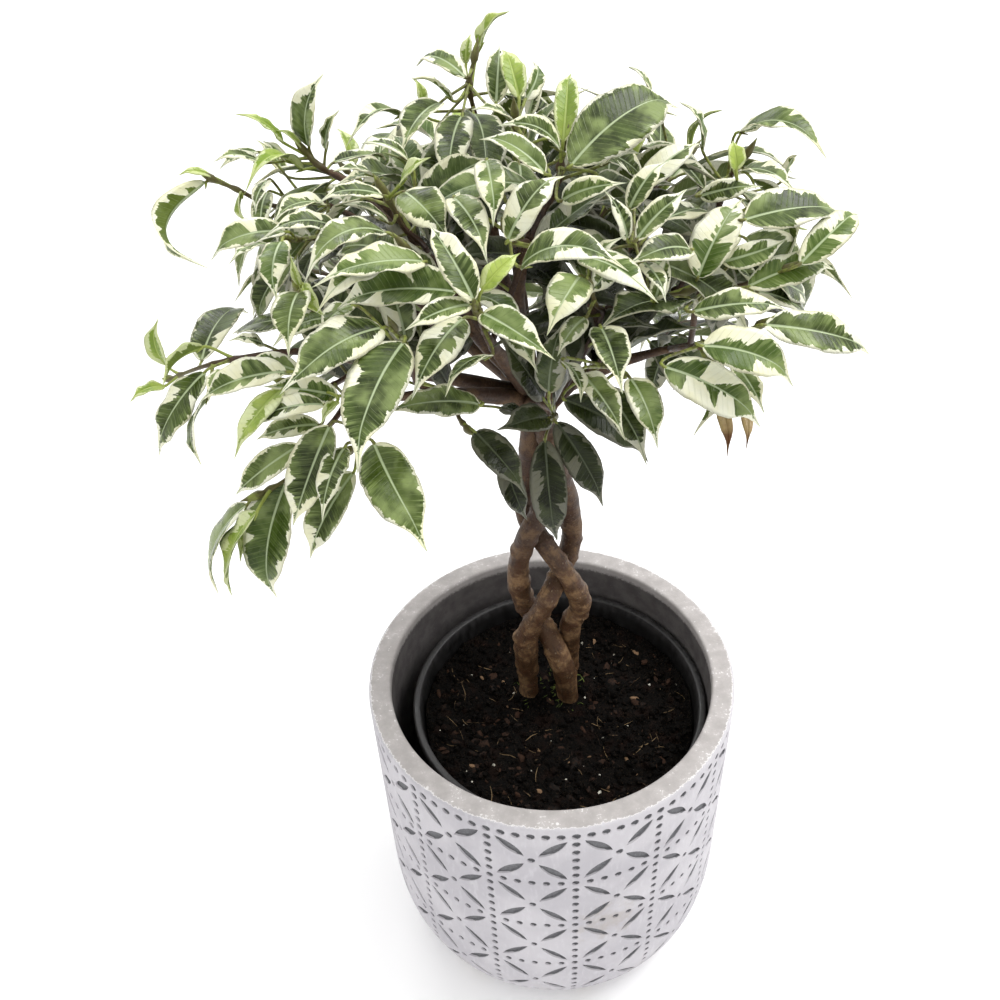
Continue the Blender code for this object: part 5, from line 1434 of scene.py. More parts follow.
def stalk_part(leaves):
    """Leaf stalks: each a cubic curve from the twig to its blade, leaving along the line
    between them and arriving along the blade, six-sided and thicker at its foot."""
    root, base, axis, side = (np.array([getattr(leaf, key) for leaf in leaves])[:, None]
                              for key in ("root", "base", "axis", "side"))
    u = np.linspace(0, 1, 8)[:, None]
    reach = np.linalg.norm(base - root, axis=-1, keepdims=True)
    first, last = (base - root) * 0.9, axis * reach * 0.55
    route = ((2 * u**3 - 3 * u**2 + 1) * root + (u**3 - 2 * u**2 + u) * first
             + (3 * u**2 - 2 * u**3) * base + (u**3 - u**2) * last)
    tip = base + axis * np.array((1.2, 3.0))[:, None]
    route = np.concatenate((route, tip), axis=1)
    radius = np.array((0.78, 0.56, 0.48, 0.45, 0.43, 0.43, 0.45, 0.48, 0.40, 0.1))
    rings = ended(rings_about(route, *framed(route, side), radius, 6))
    blank = np.zeros_like(rings)
    ripe = np.array([1.0 + 0.25 * leaf.young for leaf in leaves])[:, None, None]
    return grid_part(rings, material=1, blade=blank, traits=blank, wear=blank, ripe=ripe)


def framed(route, side):
    """Directions square to routes: the nearest to a given side, and the normal to that."""
    tangent = units(np.gradient(route, axis=-2))
    side = units(side - np.sum(side * tangent, axis=-1, keepdims=True) * tangent)
    return side, np.cross(tangent, side)


def blade_breadth(s, taper):
    """Half breadth of a blade at a share s of its length: s^0.6 (1 - s)^taper over its highest
    value, drawn in towards the tip."""
    peak = 0.6 / (0.6 + taper)
    top = peak**0.6 * (1 - peak) ** taper
    return s**0.6 * (1 - s) ** taper / top * (1 - 0.62 * smoothstep(0.64, 0.9, s))


def blade_part(leaves, random, settings):
    """Blades of a spray as closed thin shells. A point at a share s along and t across, from
    -1 to 1, lies at base + length (axis s + normal 4 arch s (1 - s)) + half breadth (t side +
    (fold |t| + cup t^2 + wave t^2 sin) normal), the section turned by a twist that grows
    with s. The upper face is grooved along the midrib, and the lower has its rib."""
    count = len(leaves)
    field = {key: np.array([getattr(leaf, key) for leaf in leaves], float) for key in Leaf._fields}
    draw = lambda low, high: random.uniform(low, high, (count, 1, 1))
    s = np.concatenate(([0], np.linspace(0.018, 0.985, BLADE_ROWS - 2), [1]))[None, :, None]
    across = np.array(BLADE_ACROSS)
    t = np.concatenate((across, across[-2:0:-1]))[None, None, :]
    face = np.concatenate((np.ones(len(across)), -np.ones(len(across) - 2)))
    face[[0, len(across) - 1]] = 0.0
    cell = lambda key: field[key][:, None, None]
    length, width, arch = cell("length"), cell("width"), cell("arch")
    base, axis, side, normal = (field[key][:, None] for key in ("base", "axis", "side", "normal"))
    u = s[0]
    centre = base + length * (axis * u + normal * 4 * u * (1 - u) * arch)
    sway = draw(-0.035, 0.035) * 4 * u * (1 - u) * length
    hook = smoothstep(0.6, 1.0, u) ** 2 * length
    centre = centre + side * (sway + draw(-0.05, 0.05) * hook) - normal * draw(0, 0.1) * hook
    side_way, above = framed(centre, side)
    twist = draw(-settings.twist, settings.twist) * u
    side_way, above = (side_way * np.cos(twist) + above * np.sin(twist),
                       above * np.cos(twist) - side_way * np.sin(twist))
    half = width / 2 * blade_breadth(s, draw(0.85, 1.1))
    lean = 1 + draw(-0.08, 0.08) * np.sign(t)
    fold, cup = draw(0.06, 0.36), draw(-0.12, 0.16)
    phase = np.where(t > 0, draw(0, TAU), draw(0, TAU))
    waves = draw(1.4, 3.4)
    size = settings.wave * draw(0.3, 1.5)
    ruffle = size * np.sin(TAU * waves * s + phase) + 0.4 * size * np.sin(17 * s + 2 * phase)
    rise = half * (fold * np.abs(t) + cup * t**2 + ruffle * t**2)
    fine = 0.012 * np.sin(60 * s + 9 * phase) + 0.010 * np.sin(97 * s + 5 * phase)
    out = half * t * lean * (1 + fine * np.abs(t) ** 3)
    taper = np.minimum(1, 12 * s) * np.minimum(1, 9 * (1 - s))
    shell = face * (0.16 + 0.1 * (1 - t**2)) * taper
    rib = np.exp(-((t / 0.13) ** 2)) * (1.15 - s) * taper
    rise = rise + shell - rib * np.where(face > 0, 0.25, 0.55 * (face < 0))
    points = centre[:, :, None] + side_way[:, :, None] * out[..., None]
    points = points + above[:, :, None] * rise[..., None]
    along = s * length - np.abs(t) * half * VEIN_SLANT
    seed, cream = draw(0, 1), draw(0, 1)
    young = cell("young") * draw(0.75, 1.0) + (1 - cell("young")) * draw(0, 0.3) ** 2
    cream = 0.15 + 0.85 * cream + 0.4 * (cream > 0.94)
    tips, middles = (base + axis * length)[:, 0], (base + axis * length / 2)[:, 0]
    misses = [np.linalg.norm(np.cross(tips - EYE, sight(pixel)), axis=1) for pixel in DRY_TIPS]
    # Leaves deep in the crown get painted shade: dry is 1 for a dried leaf and, for the others,
    # minus how deep the leaf lies in the crown
    shares = np.array([dome_share(middle) for middle in middles])
    deep = 1 - smoothstep(DEEP_SHARES[1], DEEP_SHARES[0], shares)
    dry = np.where(np.min(misses, axis=0) < DRY_NEAR, 1.0, -deep)[:, None, None]

    def spread(*values):
        """Values side by side for each point of each blade."""
        return np.stack([np.broadcast_to(value, along.shape) for value in values], axis=-1)

    return grid_part(points, blade=spread(t, s, along), traits=spread(seed, cream, young),
                     wear=spread(half, (1 - face) / 2, dry), ripe=0.0)


def build_sprays(settings):
    """Leafy twigs, one piece for each: the twig, the leaves' stalks and their blades."""
    _, _, ways, leaves = grown_tree()
    more = filling_leaves(settings.fillers)
    finishes = [blade_finish(settings), stalk_finish(settings)]
    random = np.random.default_rng(SEED + 2)
    for name, way in ways.items():
        all_leaves = leaves[name] + more[name]
        parts = [twig_part(way, leaves[name])]
        if all_leaves:
            parts += [stalk_part(all_leaves), blade_part(all_leaves, random, settings)]
        make_piece("leafy_" + name, parts, finishes, ["spray_" + name])


def srgb(red, green, blue):
    """Linear colour from the 0 to 255 values that a picture gives."""
    values = np.array((red, green, blue)) / 255
    linear = np.where(values > 0.04045, ((values + 0.055) / 1.055) ** 2.4, values / 12.92)
    return tuple(float(value) for value in linear)


# Colours that no setting changes
CHALK = srgb(216, 214, 218)
FOOT_STAIN = srgb(190, 178, 160)
SIDE_STAIN = srgb(168, 158, 146)
PALE_GRIT = srgb(222, 219, 217)
DULL_CEMENT = srgb(170, 164, 162)
FLECK = srgb(236, 234, 232)
# Whitish band along the rim's rounded outer edge
PALE_RIM_EDGE = srgb(240, 238, 238)
SCUFF = srgb(28, 27, 27)
# Painted highlight along the top of the nursery pot's lip
LIP_HIGHLIGHT = srgb(88, 86, 87)
BROWN_EARTH = srgb(30, 16, 10)
DRY_CRUMB = srgb(74, 58, 42)
RUSSET = srgb(76, 46, 29)
PALE_BARK = srgb(140, 118, 92)
PORE = srgb(150, 128, 102)
# Painted shade on the wood under the crown, on the branches and on the spurs
CROWN_SHADE_BARK = srgb(44, 27, 18)
DRY_TIP = srgb(96, 62, 34)
DEEP_SHADE = srgb(15, 16, 3)


class Value:
    """What a node gives. Arithmetic with it adds Math nodes to its tree."""

    def __init__(self, nodes, socket):
        self.nodes, self.socket = nodes, socket

    def __add__(self, other):
        return self.nodes.math("ADD", self, other)

    def __sub__(self, other):
        return self.nodes.math("SUBTRACT", self, other)

    def __mul__(self, other):
        return self.nodes.math("MULTIPLY", self, other)

    def __abs__(self):
        return self.nodes.math("ABSOLUTE", self)


class Nodes:
    """A tree of nodes, and short ways to add to it."""

    def __init__(self, tree):
        self.tree = tree

    def feed(self, socket, value):
        if isinstance(value, Value):
            self.tree.links.new(value.socket, socket)
        elif hasattr(value, "__len__") and len(value) == 3 and socket.type == "RGBA":
            socket.default_value = (*value, 1.0)
        else:
            socket.default_value = value

    def node(self, kind, inputs, output=0, **settings):
        """Adds a node with its settings and inputs, and gives one of its outputs."""
        node = self.tree.nodes.new("ShaderNode" + kind)
        for key, value in settings.items():
            setattr(node, key, value)
        for key, value in inputs.items():
            self.feed(node.inputs[key], value)
        return Value(self, node.outputs[output])

    def place(self, *stretch):
        """Object coordinates in millimetres, stretched along x, y and z."""
        x, y, z = stretch or (1.0, 1.0, 1.0)
        return self.scaled(self.node("TexCoord", {}, "Object"), x / MM, y / MM, z / MM)

    def layer(self, name, vector=True):
        """A value or vector that the mesh carries for each point."""
        return self.node("Attribute", {}, "Vector" if vector else "Fac", attribute_name=name)

    def parts(self, vector):
        return [self.node("SeparateXYZ", {0: vector}, output) for output in "XYZ"]

    def pack(self, x, y, z=0.0):
        return self.node("CombineXYZ", {0: x, 1: y, 2: z})

    def math(self, operation, a, b=0.0):
        return self.node("Math", {0: a, 1: b}, operation=operation)

    def scaled(self, vector, *stretch):
        return self.node("Mapping", {0: vector, 3: stretch})

    def fit(self, value, low, high, to_low=0.0, to_high=1.0):
        """A value brought smoothly from one range to another, and held at its ends."""
        ends = {0: value, 1: low, 2: high, 3: to_low, 4: to_high}
        return self.node("MapRange", ends, interpolation_type="SMOOTHSTEP")

    def noise(self, vector, scale, detail=3.0, roughness=0.55):
        inputs = {"Vector": vector, "Scale": scale, "Detail": detail, "Roughness": roughness}
        return self.node("TexNoise", inputs, "Fac")

    def cells(self, vector, scale, output="Distance"):
        return self.node("TexVoronoi", {"Vector": vector, "Scale": scale}, output)

    def coats(self, colour, *coats):
        """A colour under coats of others, each given as its share and its colour."""
        for share, coat in coats:
            colour = self.node("Mix", {0: share, 6: colour, 7: coat}, 2, data_type="RGBA")
        return colour


class Finish(Nodes):
    """A material with one Principled shader."""

    def __init__(self, name, roughness, specular=0.5):
        self.material = bpy.data.materials.new(name)
        self.material.use_nodes = True
        super().__init__(self.material.node_tree)
        self.put("Specular IOR Level", specular)
        self.put("Roughness", roughness)

    def put(self, name, value):
        self.feed(self.tree.nodes["Principled BSDF"].inputs[name], value)

    def bump(self, height, strength, distance):
        """Relief from a height, over a distance given in millimetres."""
        inputs = {"Height": height, "Strength": strength, "Distance": distance * MM}
        self.put("Normal", self.node("Bump", inputs, "Normal"))


def cement_finish(settings):
    """Whitewashed cement: chalky paint on the side, bare grey cement with pale grit and pores in
    the recesses, on the rim and inside, and chipped paint along the rim. Recess walls facing up to
    the right keep the paint's colour and the others take the recess colour: painted light and
    shade."""
    f = Finish("whitewashed_cement", 0.85, 0.3)
    spot = f.place()
    zone, recess = f.layer("zone", False), f.layer("recess", False)
    broad, middle = f.noise(spot, 0.035, 4), f.noise(spot, 0.16, 4)
    fine, grit = f.noise(spot, 0.9, 3, 0.7), f.noise(spot, 3.2, 2)
    streaks = f.noise(f.place(1, 1, 0.3), 0.5, 3)
    low = f.fit(f.parts(spot)[2], 2.0, 34.0, 1.0, 0.0)
    stain = f.fit(f.noise(spot, 0.06, 5, 0.6), 0.5, 0.68) * low
    away = f.node("VectorMath", {0: f.place(1, 1, 0.8), 1: STAIN_PLACE}, "Value",
                  operation="DISTANCE")
    away = away + f.fit(f.noise(spot, 0.2, 4), 0.3, 0.7, -6.0, 6.0)
    paint = f.coats(settings.paint, (f.fit(broad, 0.35, 0.65), settings.paint_shade),
                    (f.fit(streaks, 0.5, 0.75, 0, 0.35), CHALK),
                    (f.fit(fine, 0.62, 0.8, 0, 0.35), settings.paint_shade),
                    (stain * 0.4, FOOT_STAIN), (f.fit(away, 0.0, 15.0, 0.42, 0.0), SIDE_STAIN))
    ragged = zone + f.fit(fine, 0.3, 0.7, -0.22, 0.22) + f.fit(middle, 0.35, 0.65, -0.12, 0.12)
    on_rim = f.fit(ragged, 0.47, 0.58)
    bare = f.coats(settings.cement, (f.fit(middle, 0.3, 0.7), settings.cement_shade),
                   (f.fit(fine, 0.58, 0.8, 0, 0.35), PALE_GRIT),
                   (f.fit(f.noise(spot, 0.5, 4, 0.7), 0.58, 0.72, 0, 0.4), DULL_CEMENT),
                   (f.fit(f.cells(spot, 0.3), 0.05, 0.09, 0.6, 0.0), FLECK),
                   (f.fit(abs(ragged - 0.62), 0.03, 0.2, 0.75, 0.0), PALE_RIM_EDGE))
    inner = f.coats(settings.inside, (f.fit(middle, 0.3, 0.7), settings.inside_shade),
                    (f.fit(grit, 0.62, 0.75, 0, 0.25), settings.cement))
    in_pot = f.fit(zone + f.fit(fine, 0.3, 0.7, -0.1, 0.1), 1.3, 1.7)
    sunk = f.coats(settings.recess, (f.fit(fine, 0.3, 0.7), settings.recess_shade))
    # The recess value also paints light and shade on the recess walls: paint facing up to the
    # right, recess colour facing away
    sunken = f.fit(recess + f.fit(fine, 0.3, 0.7, -0.04, 0.04), 0.56, 0.68)
    f.put("Base Color", f.coats(paint, (on_rim, bare), (in_pot, inner), (sunken, sunk)))
    pores = f.fit(f.cells(spot, 0.42), 0.05, 0.11, -0.8, 0.0)
    f.bump(fine * 0.6 + grit * 0.35 + pores * on_rim * 0.5, 0.5, 0.35)
    return f.material


def plastic_finish(settings):
    """Dark moulded plastic, faintly scuffed, with a painted highlight: paler grey along the top of
    its lip.
    """
    f = Finish("dark_plastic", 0.45)
    spot = f.place()
    scuffs = f.noise(f.place(1, 1, 0.25), 0.5, 4)
    # Painted highlight: paler grey along the lip's top, broken up by the scuff noise
    lip = f.fit(f.parts(spot)[2], 128.0, 133.0, 0.0, 0.4)
    f.put("Base Color", f.coats(settings.plastic,
                                (f.fit(f.noise(spot, 0.12, 4), 0.4, 0.7), SCUFF),
                                (f.fit(scuffs, 0.3, 0.7, 0.35, 1.0) * lip, LIP_HIGHLIGHT)))
    f.put("Roughness", f.fit(scuffs, 0.3, 0.7, 0.32, 0.6))
    f.bump(f.noise(spot, 1.6, 2), 0.25, 0.15)
    return f.material


def earth_finish(settings):
    """Moist dark soil: near black, with brown crumbs."""
    f = Finish("moist_soil", 0.75, 0.1)
    spot = f.place()
    fine = f.noise(spot, 0.8, 5, 0.65)
    f.put("Base Color", f.coats(settings.earth, (f.fit(fine, 0.46, 0.7), settings.earth_light),
                                (f.fit(f.noise(spot, 0.13, 2), 0.52, 0.68, 0, 0.5), BROWN_EARTH),
                                (f.fit(f.noise(spot, 2.6, 1), 0.66, 0.72, 0, 0.6), DRY_CRUMB)))
    f.bump(fine - f.cells(spot, 0.9) * 0.6, 0.9, 1.2)
    return f.material


def bit_finish(name, dark, light, roughness, scale, pale=None):
    """A small thing in the soil: its colour between two by its own shade, streaked by noise,
    and a few quite pale."""
    f = Finish(name, roughness, 0.2)
    shade, streak = f.layer("shade", False), f.noise(f.place(), scale, 3)
    share = shade * 0.8 + f.fit(streak, 0.3, 0.7, -0.15, 0.35)
    colour = f.coats(dark, (f.fit(share, 0.0, 0.9), light))
    if pale:
        colour = f.coats(colour, (f.fit(shade, 0.93, 0.95), pale))
    f.put("Base Color", colour)
    f.bump(streak, 0.6, 0.3)
    return f.material


def soil_finishes(settings):
    """Materials of the soil, and of the chips, grains, fibres and moss on it."""
    return [
        earth_finish(settings),
        bit_finish("bark_chips", srgb(8, 5, 3), settings.chip, 0.8, 1.1, srgb(124, 98, 74)),
        bit_finish("white_grains", srgb(120, 116, 104), settings.grain, 0.9, 1.5),
        bit_finish("root_fibres", srgb(34, 22, 13), settings.fibre, 0.75, 0.9),
        bit_finish("moss", srgb(28, 38, 14), srgb(96, 108, 52), 0.85, 0.9),
    ]


def bark_finish(settings):
    """Smooth young bark: brown-grey with darker patches and hollows, thin cross cracks and pale
    raised pores. Painted shade darkens the branches more than the stems, the spurs more still, and
    the wood towards the top, under the crown."""
    f = Finish("smooth_bark", 0.55, 0.35)
    grain, spot = f.layer("grain"), f.place()
    patches, fine = f.noise(spot, 0.11, 4, 0.6), f.noise(spot, 1.3, 4, 0.65)
    rings = f.noise(f.scaled(grain, 0.5, 0.5, 1.5), 1.0, 4, 0.65)
    length = f.noise(f.scaled(grain, 0.7, 0.7, 0.12), 1.0, 3, 0.6)
    dots = f.fit(f.cells(f.scaled(grain, 1.0, 1.0, 0.75), 0.62), 0.12, 0.2, 1.0, 0.0)
    # Painted shade: the wood darkens towards the top under the crown, and by each part's shade
    # value
    high = f.fit(f.parts(spot)[2], 185.0, 235.0, 0.0, 0.6)
    f.put("Base Color", f.coats(
        settings.bark,
        (f.fit(patches, 0.43, 0.58), settings.bark_light),
        (f.fit(f.noise(spot, 0.3, 3, 0.6), 0.48, 0.6, 0, 0.6), RUSSET),
        (f.fit(length, 0.5, 0.68, 0, 0.6), settings.bark_dark),
        (f.fit(rings, 0.56, 0.68, 0, 0.45), settings.bark_dark),
        (f.fit(fine, 0.58, 0.72, 0, 0.4), PALE_BARK),
        (dots * 0.6, PORE),
        (f.math("MAXIMUM", high, f.layer("shade", False) * 0.8), CROWN_SHADE_BARK),
    ))
    f.put("Roughness", f.fit(patches, 0.3, 0.7, 0.42, 0.66))
    f.bump(rings * -0.7 + fine * 0.4 + dots * 0.35, 0.9, 0.8)
    return f.material


def stalk_finish(settings):
    """Twigs and leaf stalks: brown where woody, olive and then yellow-green where ripe is 1."""
    f = Finish("green_twig", 0.5)
    streak = f.noise(f.place(), 0.5, 4)
    ripe = f.layer("ripe", False) + f.fit(streak, 0.3, 0.7, -0.15, 0.15)
    f.put("Base Color", f.coats(settings.twig, (f.fit(ripe, 0.25, 0.85), settings.shoot),
                                (f.fit(ripe, 0.85, 1.2), settings.stalk)))
    f.bump(streak, 0.4, 0.3)
    return f.material


def blade_finish(settings):
    """Variegated leaf. The green middle ends in a jagged border that follows the side veins, a
    little in from the margin, with deep bays of cream by slow noise along the leaf. Paler green
    streaks run in from the border, with the pale midrib and fine side veins, and broad pale
    patches over the blades are painted sheen. Young leaves are lime, lower faces a flatter olive,
    dried leaves tan, and leaves deep in the crown darker by painted shade."""
    f = Finish("variegated_leaf", 0.36, 0.27)
    across, along, vein = f.parts(f.layer("blade"))
    seed, cream, young = f.parts(f.layer("traits"))
    half, under, dry = f.parts(f.layer("wear"))
    spot = f.place()
    clouds = f.noise(spot, 0.12, 4)
    cloudy = f.fit(clouds, 0.35, 0.65)
    reach = abs(across) * half
    row = seed * 91.0 + f.math("SIGN", across)
    bays = f.fit(f.noise(f.pack(vein * 0.13, row), 1.0, 1.5, 0.5), 0.5, 0.63) * cream
    teeth = f.parts(f.cells(f.pack(vein * 0.6, row * 7.0), 1.0, "Color"))[0]
    hairs = f.noise(f.pack(vein * 2.2, reach * 0.5, row), 1.0, 3, 0.7)
    line = f.fit(f.noise(f.pack(vein * 0.4, row), 1.0, 2), 0.35, 0.65, 0.6, 1.9)
    border = line * (settings.margin / MM) + bays * settings.bay_share * half
    border += teeth * (bays * 2.2 + 0.35) + f.fit(hairs, 0.25, 0.75, -0.28, 0.28)
    inside = half - reach - border
    streaks = f.noise(f.pack(vein * 0.8, reach * 0.07, row), 1.0, 4, 0.75)
    pale = f.fit(streaks, 0.44, 0.68) * f.fit(inside, 0.0, 3.5, 0.9, 0.2)
    # Broad pale patches by slow noise are painted sheen, laid over the real pale streaks from the
    # border
    pale = f.math("MAXIMUM", pale, f.fit(f.noise(spot, 0.08, 3), 0.48, 0.64, 0.0, 0.75))
    veins = f.fit(abs(f.math("FRACT", vein * 0.62) - 0.5), 0.0, 0.08, 1.0, 0.0)
    veins = veins * f.fit(reach, 0.3, 0.8)
    lime = f.coats(settings.young_leaf, (cloudy, settings.young_light))
    green = f.coats(settings.leaf_dark, (f.fit(clouds, 0.38, 0.62), settings.leaf_green),
                    (f.fit(seed, 0.55, 1.0, 0.0, 0.5), settings.leaf_bright),
                    (pale, settings.leaf_sage), (young, lime),
                    (under * 0.8, settings.leaf_under), (veins * 0.4, settings.leaf_sage))
    ivory = f.coats(settings.ivory, (cloudy, settings.ivory_shade),
                    (young * 0.7, settings.young_light))
    midrib = f.fit(reach - f.math("SUBTRACT", 1.2, along) * 0.34, -0.14, 0.12, 1.0, 0.0)
    rib = f.coats(settings.midrib, (young, settings.young_light))
    ends = f.fit(along + f.fit(clouds, 0.3, 0.7, -0.2, 0.2), 0.55, 0.95)
    tan = f.coats(settings.dry, (ends, DRY_TIP))
    # Painted shade: leaves deep in the crown mix towards DEEP_SHADE as their dry value runs below
    # 0
    f.put("Base Color", f.coats(ivory, (f.fit(inside, -0.09, 0.09), green), (midrib * 0.9, rib),
                                (dry, tan), (f.fit(dry, -1.0, 0.0, 0.84, 0.0), DEEP_SHADE)))
    f.put("Roughness", f.fit(clouds, 0.3, 0.7, 0.22, 0.36) + under * 0.2)
    f.bump(veins * -0.5 + midrib * -0.8 + f.noise(spot, 0.5, 3) * 0.7, 0.6, 0.35)
    return f.material


def number(name, default, description, **more):
    return FloatProperty(name=name, default=default, description=description, **more)


def length(name, millimetres, description):
    return FloatProperty(name=name, default=millimetres * MM, description=description,
                         min=0.0, unit="LENGTH", precision=4)


def colour(name, default, description):
    return FloatVectorProperty(name=name, default=srgb(*default), description=description,
                               subtype="COLOR", min=0.0, max=1.0)


def amount(name, default, description):
    return IntProperty(name=name, default=default, description=description, min=0, max=5000)


class PotSettings(bpy.types.PropertyGroup):
    """Cover pot and nursery pot."""

    recess_depth: length("Recess Depth", 1.0, "How far the dots and petals are sunk")
    dot_radius: length("Dot Radius", 1.38, "Radius of a sunk dot")
    petal_width: length("Petal Width", 3.2, "Breadth of a sunk petal at its middle")
    paint: colour("Paint", (200, 197, 201), "Whitewash on the side")
    paint_shade: colour("Paint Shade", (186, 183, 188), "Darker patches of the whitewash")
    cement: colour("Cement", (187, 182, 180), "Bare cement on the rim")
    cement_shade: colour("Cement Shade", (170, 165, 163), "Darker patches of the bare cement")
    recess: colour("Recess", (104, 104, 107), "Cement in the recesses")
    recess_shade: colour("Recess Shade", (124, 124, 127), "Paler patches in the recesses")
    inside: colour("Inside", (104, 100, 99), "Wall inside the pot")
    inside_shade: colour("Inside Shade", (86, 82, 82), "Darker patches inside the pot")
    plastic: colour("Plastic", (18, 17, 17), "Plastic of the nursery pot")


class SoilSettings(bpy.types.PropertyGroup):
    """Soil and what lies on it."""

    earth: colour("Earth", (3, 2, 1), "Moist soil")
    earth_light: colour("Earth Light", (18, 11, 6), "Paler crumbs of soil")
    chip: colour("Chips", (54, 34, 22), "Palest bark chips")
    grain: colour("Grains", (226, 222, 208), "White grains")
    fibre: colour("Fibres", (134, 112, 82), "Palest root fibres")
    clods: amount("Clods", 1800, "How many lumps of soil")
    chips: amount("Chips", 240, "How many bark chips")
    grains: amount("Grains", 40, "How many white grains")
    fibres: amount("Fibres", 80, "How many root fibres")
    moss: amount("Moss", 60, "How many moss threads at the stems' feet")


class WoodSettings(bpy.types.PropertyGroup):
    """Stems and branches."""

    lumps: number("Lumps", 1.1, "How uneven the wood is", min=0.0, max=3.0)
    bark: colour("Bark", (80, 55, 33), "Bark of the stems")
    bark_light: colour("Bark Light", (134, 104, 72), "Paler patches of bark")
    bark_dark: colour("Bark Dark", (36, 22, 14), "Cracks and hollows of the bark")


class LeafSettings(bpy.types.PropertyGroup):
    """Leaves, their stalks and the twigs."""

    margin: length("Margin", 0.42, "Breadth of the plain cream margin")
    bay_share: number("Cream Bays", 0.75, "How deep the cream bays run", subtype="FACTOR",
                      min=0.0, max=1.0)
    wave: number("Waves", 0.11, "Height of the margin's waves over the half breadth",
                 min=0.0, max=0.5)
    twist: number("Twist", 0.3, "Greatest turn of a blade from its base to its tip",
                  subtype="ANGLE", unit="ROTATION")
    leaf_dark: colour("Dark Green", (32, 43, 8), "Darkest green of the blades")
    leaf_green: colour("Green", (60, 77, 24), "Green of the blades")
    # Sage also paints the sheen on broad pale patches of the blades
    leaf_sage: colour("Sage", (142, 158, 98), "Pale green patches and side veins")
    leaf_bright: colour("Bright Green", (76, 105, 32), "Green of some of the blades")
    leaf_under: colour("Under Face", (92, 108, 38), "Lower face of the blades")
    ivory: colour("Ivory", (236, 236, 214), "Cream margins")
    ivory_shade: colour("Ivory Shade", (230, 228, 192), "Deeper cream of the margins")
    midrib: colour("Midrib", (178, 192, 152), "Midrib of the blades")
    young_leaf: colour("Young Leaf", (120, 146, 44), "Green of the young leaves")
    young_light: colour("Young Light", (166, 184, 88), "Pale parts of the young leaves")
    twig: colour("Twig", (70, 46, 30), "Woody end of a twig")
    shoot: colour("Shoot", (92, 88, 44), "Green end of a twig")
    fillers: amount("Fillers", 190, "How many more leaves fill the crown")
    dry: colour("Dry", (178, 154, 110), "Dried leaves")
    stalk: colour("Stalk", (142, 154, 66), "Leaf stalks")


class StageSettings(bpy.types.PropertyGroup):
    """Floor and studio light."""

    floor: colour("Floor", (253, 253, 253), "Plain pale floor")
    horizon: number("Horizon", 0.56, "Strength of the soft light from the sides", min=0.0)
    zenith: number("Zenith", 1.38, "Strength of the soft light from above", min=0.0)
    key: number("Key", 19.0, "Power of the large soft lamp", unit="POWER", min=0.0)
    fill: number("Fill", 7.0, "Power of the lamp behind", unit="POWER", min=0.0)


GROUPS = {
    "fig_pot": PotSettings,
    "fig_soil": SoilSettings,
    "fig_wood": WoodSettings,
    "fig_leaves": LeafSettings,
    "fig_stage": StageSettings,
}


def add_lamp(name, place, target, power, size):
    """Square area lamp at a place, aimed at a target."""
    light = bpy.data.lights.new(name, "AREA")
    light.energy, light.size = power, size
    lamp = put_in_scene(name, light)
    turn = (Vector(target) - Vector(place)).to_track_quat("-Z", "Y").to_matrix().to_4x4()
    lamp.matrix_world = Matrix.Translation(place) @ turn


def build_stage(settings):
    """Pale floor, a sky that lights more from above but is seen as even white, two soft lamps
    and the photograph's camera."""
    scene = bpy.context.scene
    scene.view_settings.view_transform = "Standard"
    world = bpy.data.worlds.new("studio")
    world.use_nodes = True
    sky, background = Nodes(world.node_tree), world.node_tree.nodes["Background"]
    height = sky.parts(sky.node("TexCoord", {}, "Generated"))[2]
    strength = sky.node("MapRange", {0: height, 3: settings.horizon, 4: settings.zenith})
    seen = sky.node("Mix", {0: sky.node("LightPath", {}, "Is Camera Ray"), 2: strength, 3: 1.0})
    sky.feed(background.inputs["Color"], (1.0, 1.0, 1.0))
    sky.feed(background.inputs["Strength"], seen)
    scene.world = world
    floor = bpy.data.meshes.new("floor")
    side = FLOOR_HALF * MM
    corners = [(-side, -side, 0), (side, -side, 0), (side, side, 0), (-side, side, 0)]
    floor.from_pydata(corners, [], [(0, 1, 2, 3)])
    f = Finish("pale_floor", 0.9, 0.2)
    f.put("Base Color", settings.floor)
    floor.materials.append(f.material)
    thing = put_in_scene("floor", floor)
    add_lamp("key_lamp", (0.9, 0.25, 1.6), (0, 0, 0.2), settings.key, 1.0)
    add_lamp("back_lamp", (-0.45, 1.45, 1.35), (0, 0, 0.25), settings.fill, 0.8)
    camera = bpy.data.cameras.new("camera")
    camera.sensor_width = SENSOR
    camera.lens = FOCAL_PIXELS / (2 * PICTURE_MIDDLE) * SENSOR
    camera.clip_start, camera.clip_end = 0.01, 20.0
    viewer = put_in_scene("camera", camera)
    turn = Matrix(np.column_stack((RIGHT, ABOVE, -FORWARD)).tolist()).to_4x4()
    viewer.matrix_world = Matrix.Translation(EYE * MM) @ turn
    scene.camera = viewer


class FIG_OT_planter(bpy.types.Operator):
    """Adds the cement cover pot with its sunk pattern"""

    bl_idname = "fig.planter"
    bl_label = "Cover Pot"

    def execute(self, context):
        build_planter(context.scene.fig_pot)
        return {"FINISHED"}


class FIG_OT_nursery_pot(bpy.types.Operator):
    """Adds the dark nursery pot that the tree is rooted in"""

    bl_idname = "fig.nursery_pot"
    bl_label = "Nursery Pot"

    def execute(self, context):
        build_nursery_pot(context.scene.fig_pot)
        return {"FINISHED"}


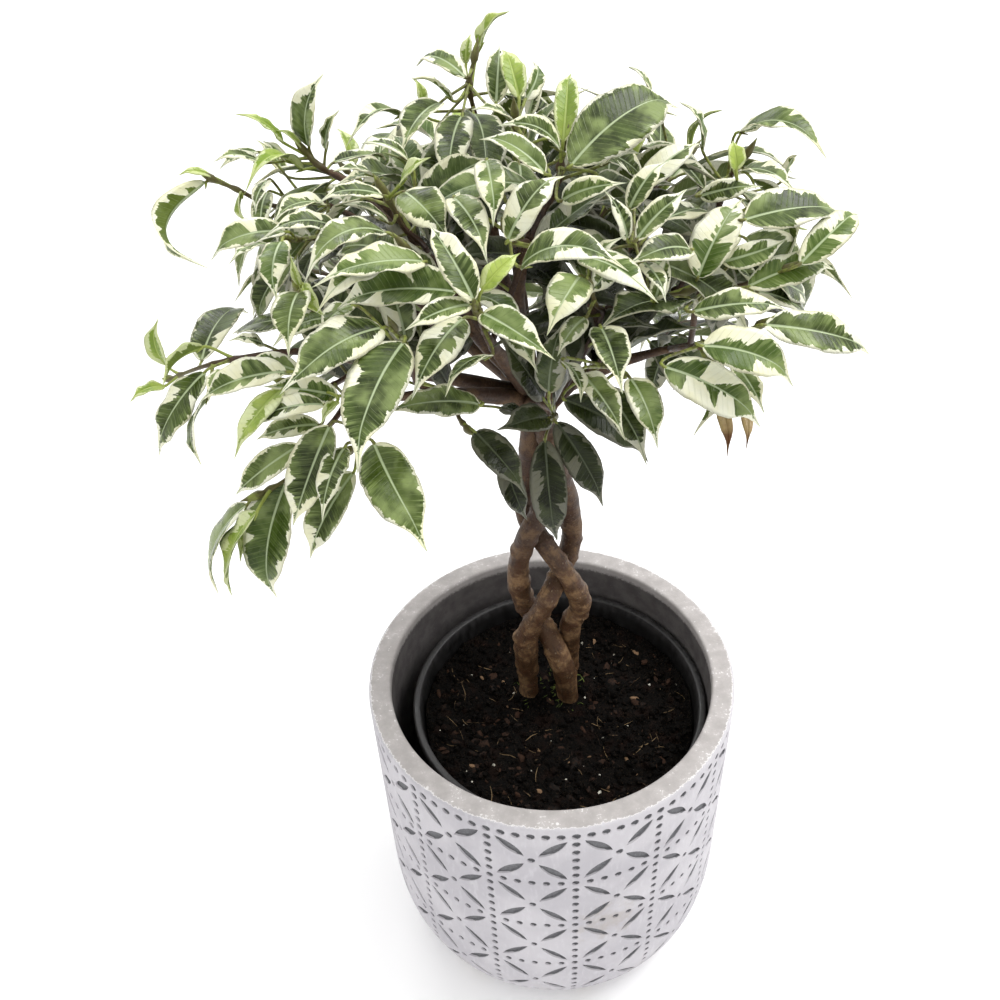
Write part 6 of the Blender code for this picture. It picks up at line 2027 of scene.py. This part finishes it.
class FIG_OT_soil(bpy.types.Operator):
    """Adds the potting soil with its chips, grains, fibres and moss"""

    bl_idname = "fig.soil"
    bl_label = "Soil"

    def execute(self, context):
        build_soil(context.scene.fig_soil)
        return {"FINISHED"}


class FIG_OT_wood(bpy.types.Operator):
    """Adds the plaited stems, the branches and their spurs"""

    bl_idname = "fig.wood"
    bl_label = "Stems and Branches"

    def execute(self, context):
        build_wood(context.scene.fig_wood)
        return {"FINISHED"}


class FIG_OT_sprays(bpy.types.Operator):
    """Adds the leafy twigs, one piece for each"""

    bl_idname = "fig.sprays"
    bl_label = "Leafy Twigs"

    def execute(self, context):
        build_sprays(context.scene.fig_leaves)
        return {"FINISHED"}


class FIG_OT_stage(bpy.types.Operator):
    """Adds the floor, the studio light and the camera"""

    bl_idname = "fig.stage"
    bl_label = "Floor, Light and Camera"

    def execute(self, context):
        build_stage(context.scene.fig_stage)
        return {"FINISHED"}


STEPS = (FIG_OT_planter, FIG_OT_nursery_pot, FIG_OT_soil, FIG_OT_wood, FIG_OT_sprays,
         FIG_OT_stage)


class FIG_PT_panel(bpy.types.Panel):
    """Buttons and settings for the potted fig"""

    bl_label = "Potted Fig"
    bl_space_type = "VIEW_3D"
    bl_region_type = "UI"
    bl_category = "Fig"

    def draw(self, context):
        for step in STEPS:
            self.layout.operator(step.bl_idname)
        for key, group in GROUPS.items():
            box = self.layout.box()
            box.label(text=group.__doc__)
            for name in group.__annotations__:
                box.prop(getattr(context.scene, key), name)


CLASSES = (*GROUPS.values(), *STEPS, FIG_PT_panel)


def register():
    for each in CLASSES:
        bpy.utils.register_class(each)
    for key, group in GROUPS.items():
        setattr(bpy.types.Scene, key, PointerProperty(type=group))


def unregister():
    for key in GROUPS:
        delattr(bpy.types.Scene, key)
    for each in reversed(CLASSES):
        bpy.utils.unregister_class(each)


def main():
    register()
    for step in STEPS:
        family, name = step.bl_idname.split(".")
        getattr(getattr(bpy.ops, family), name)()


if __name__ == "__main__":
    main()
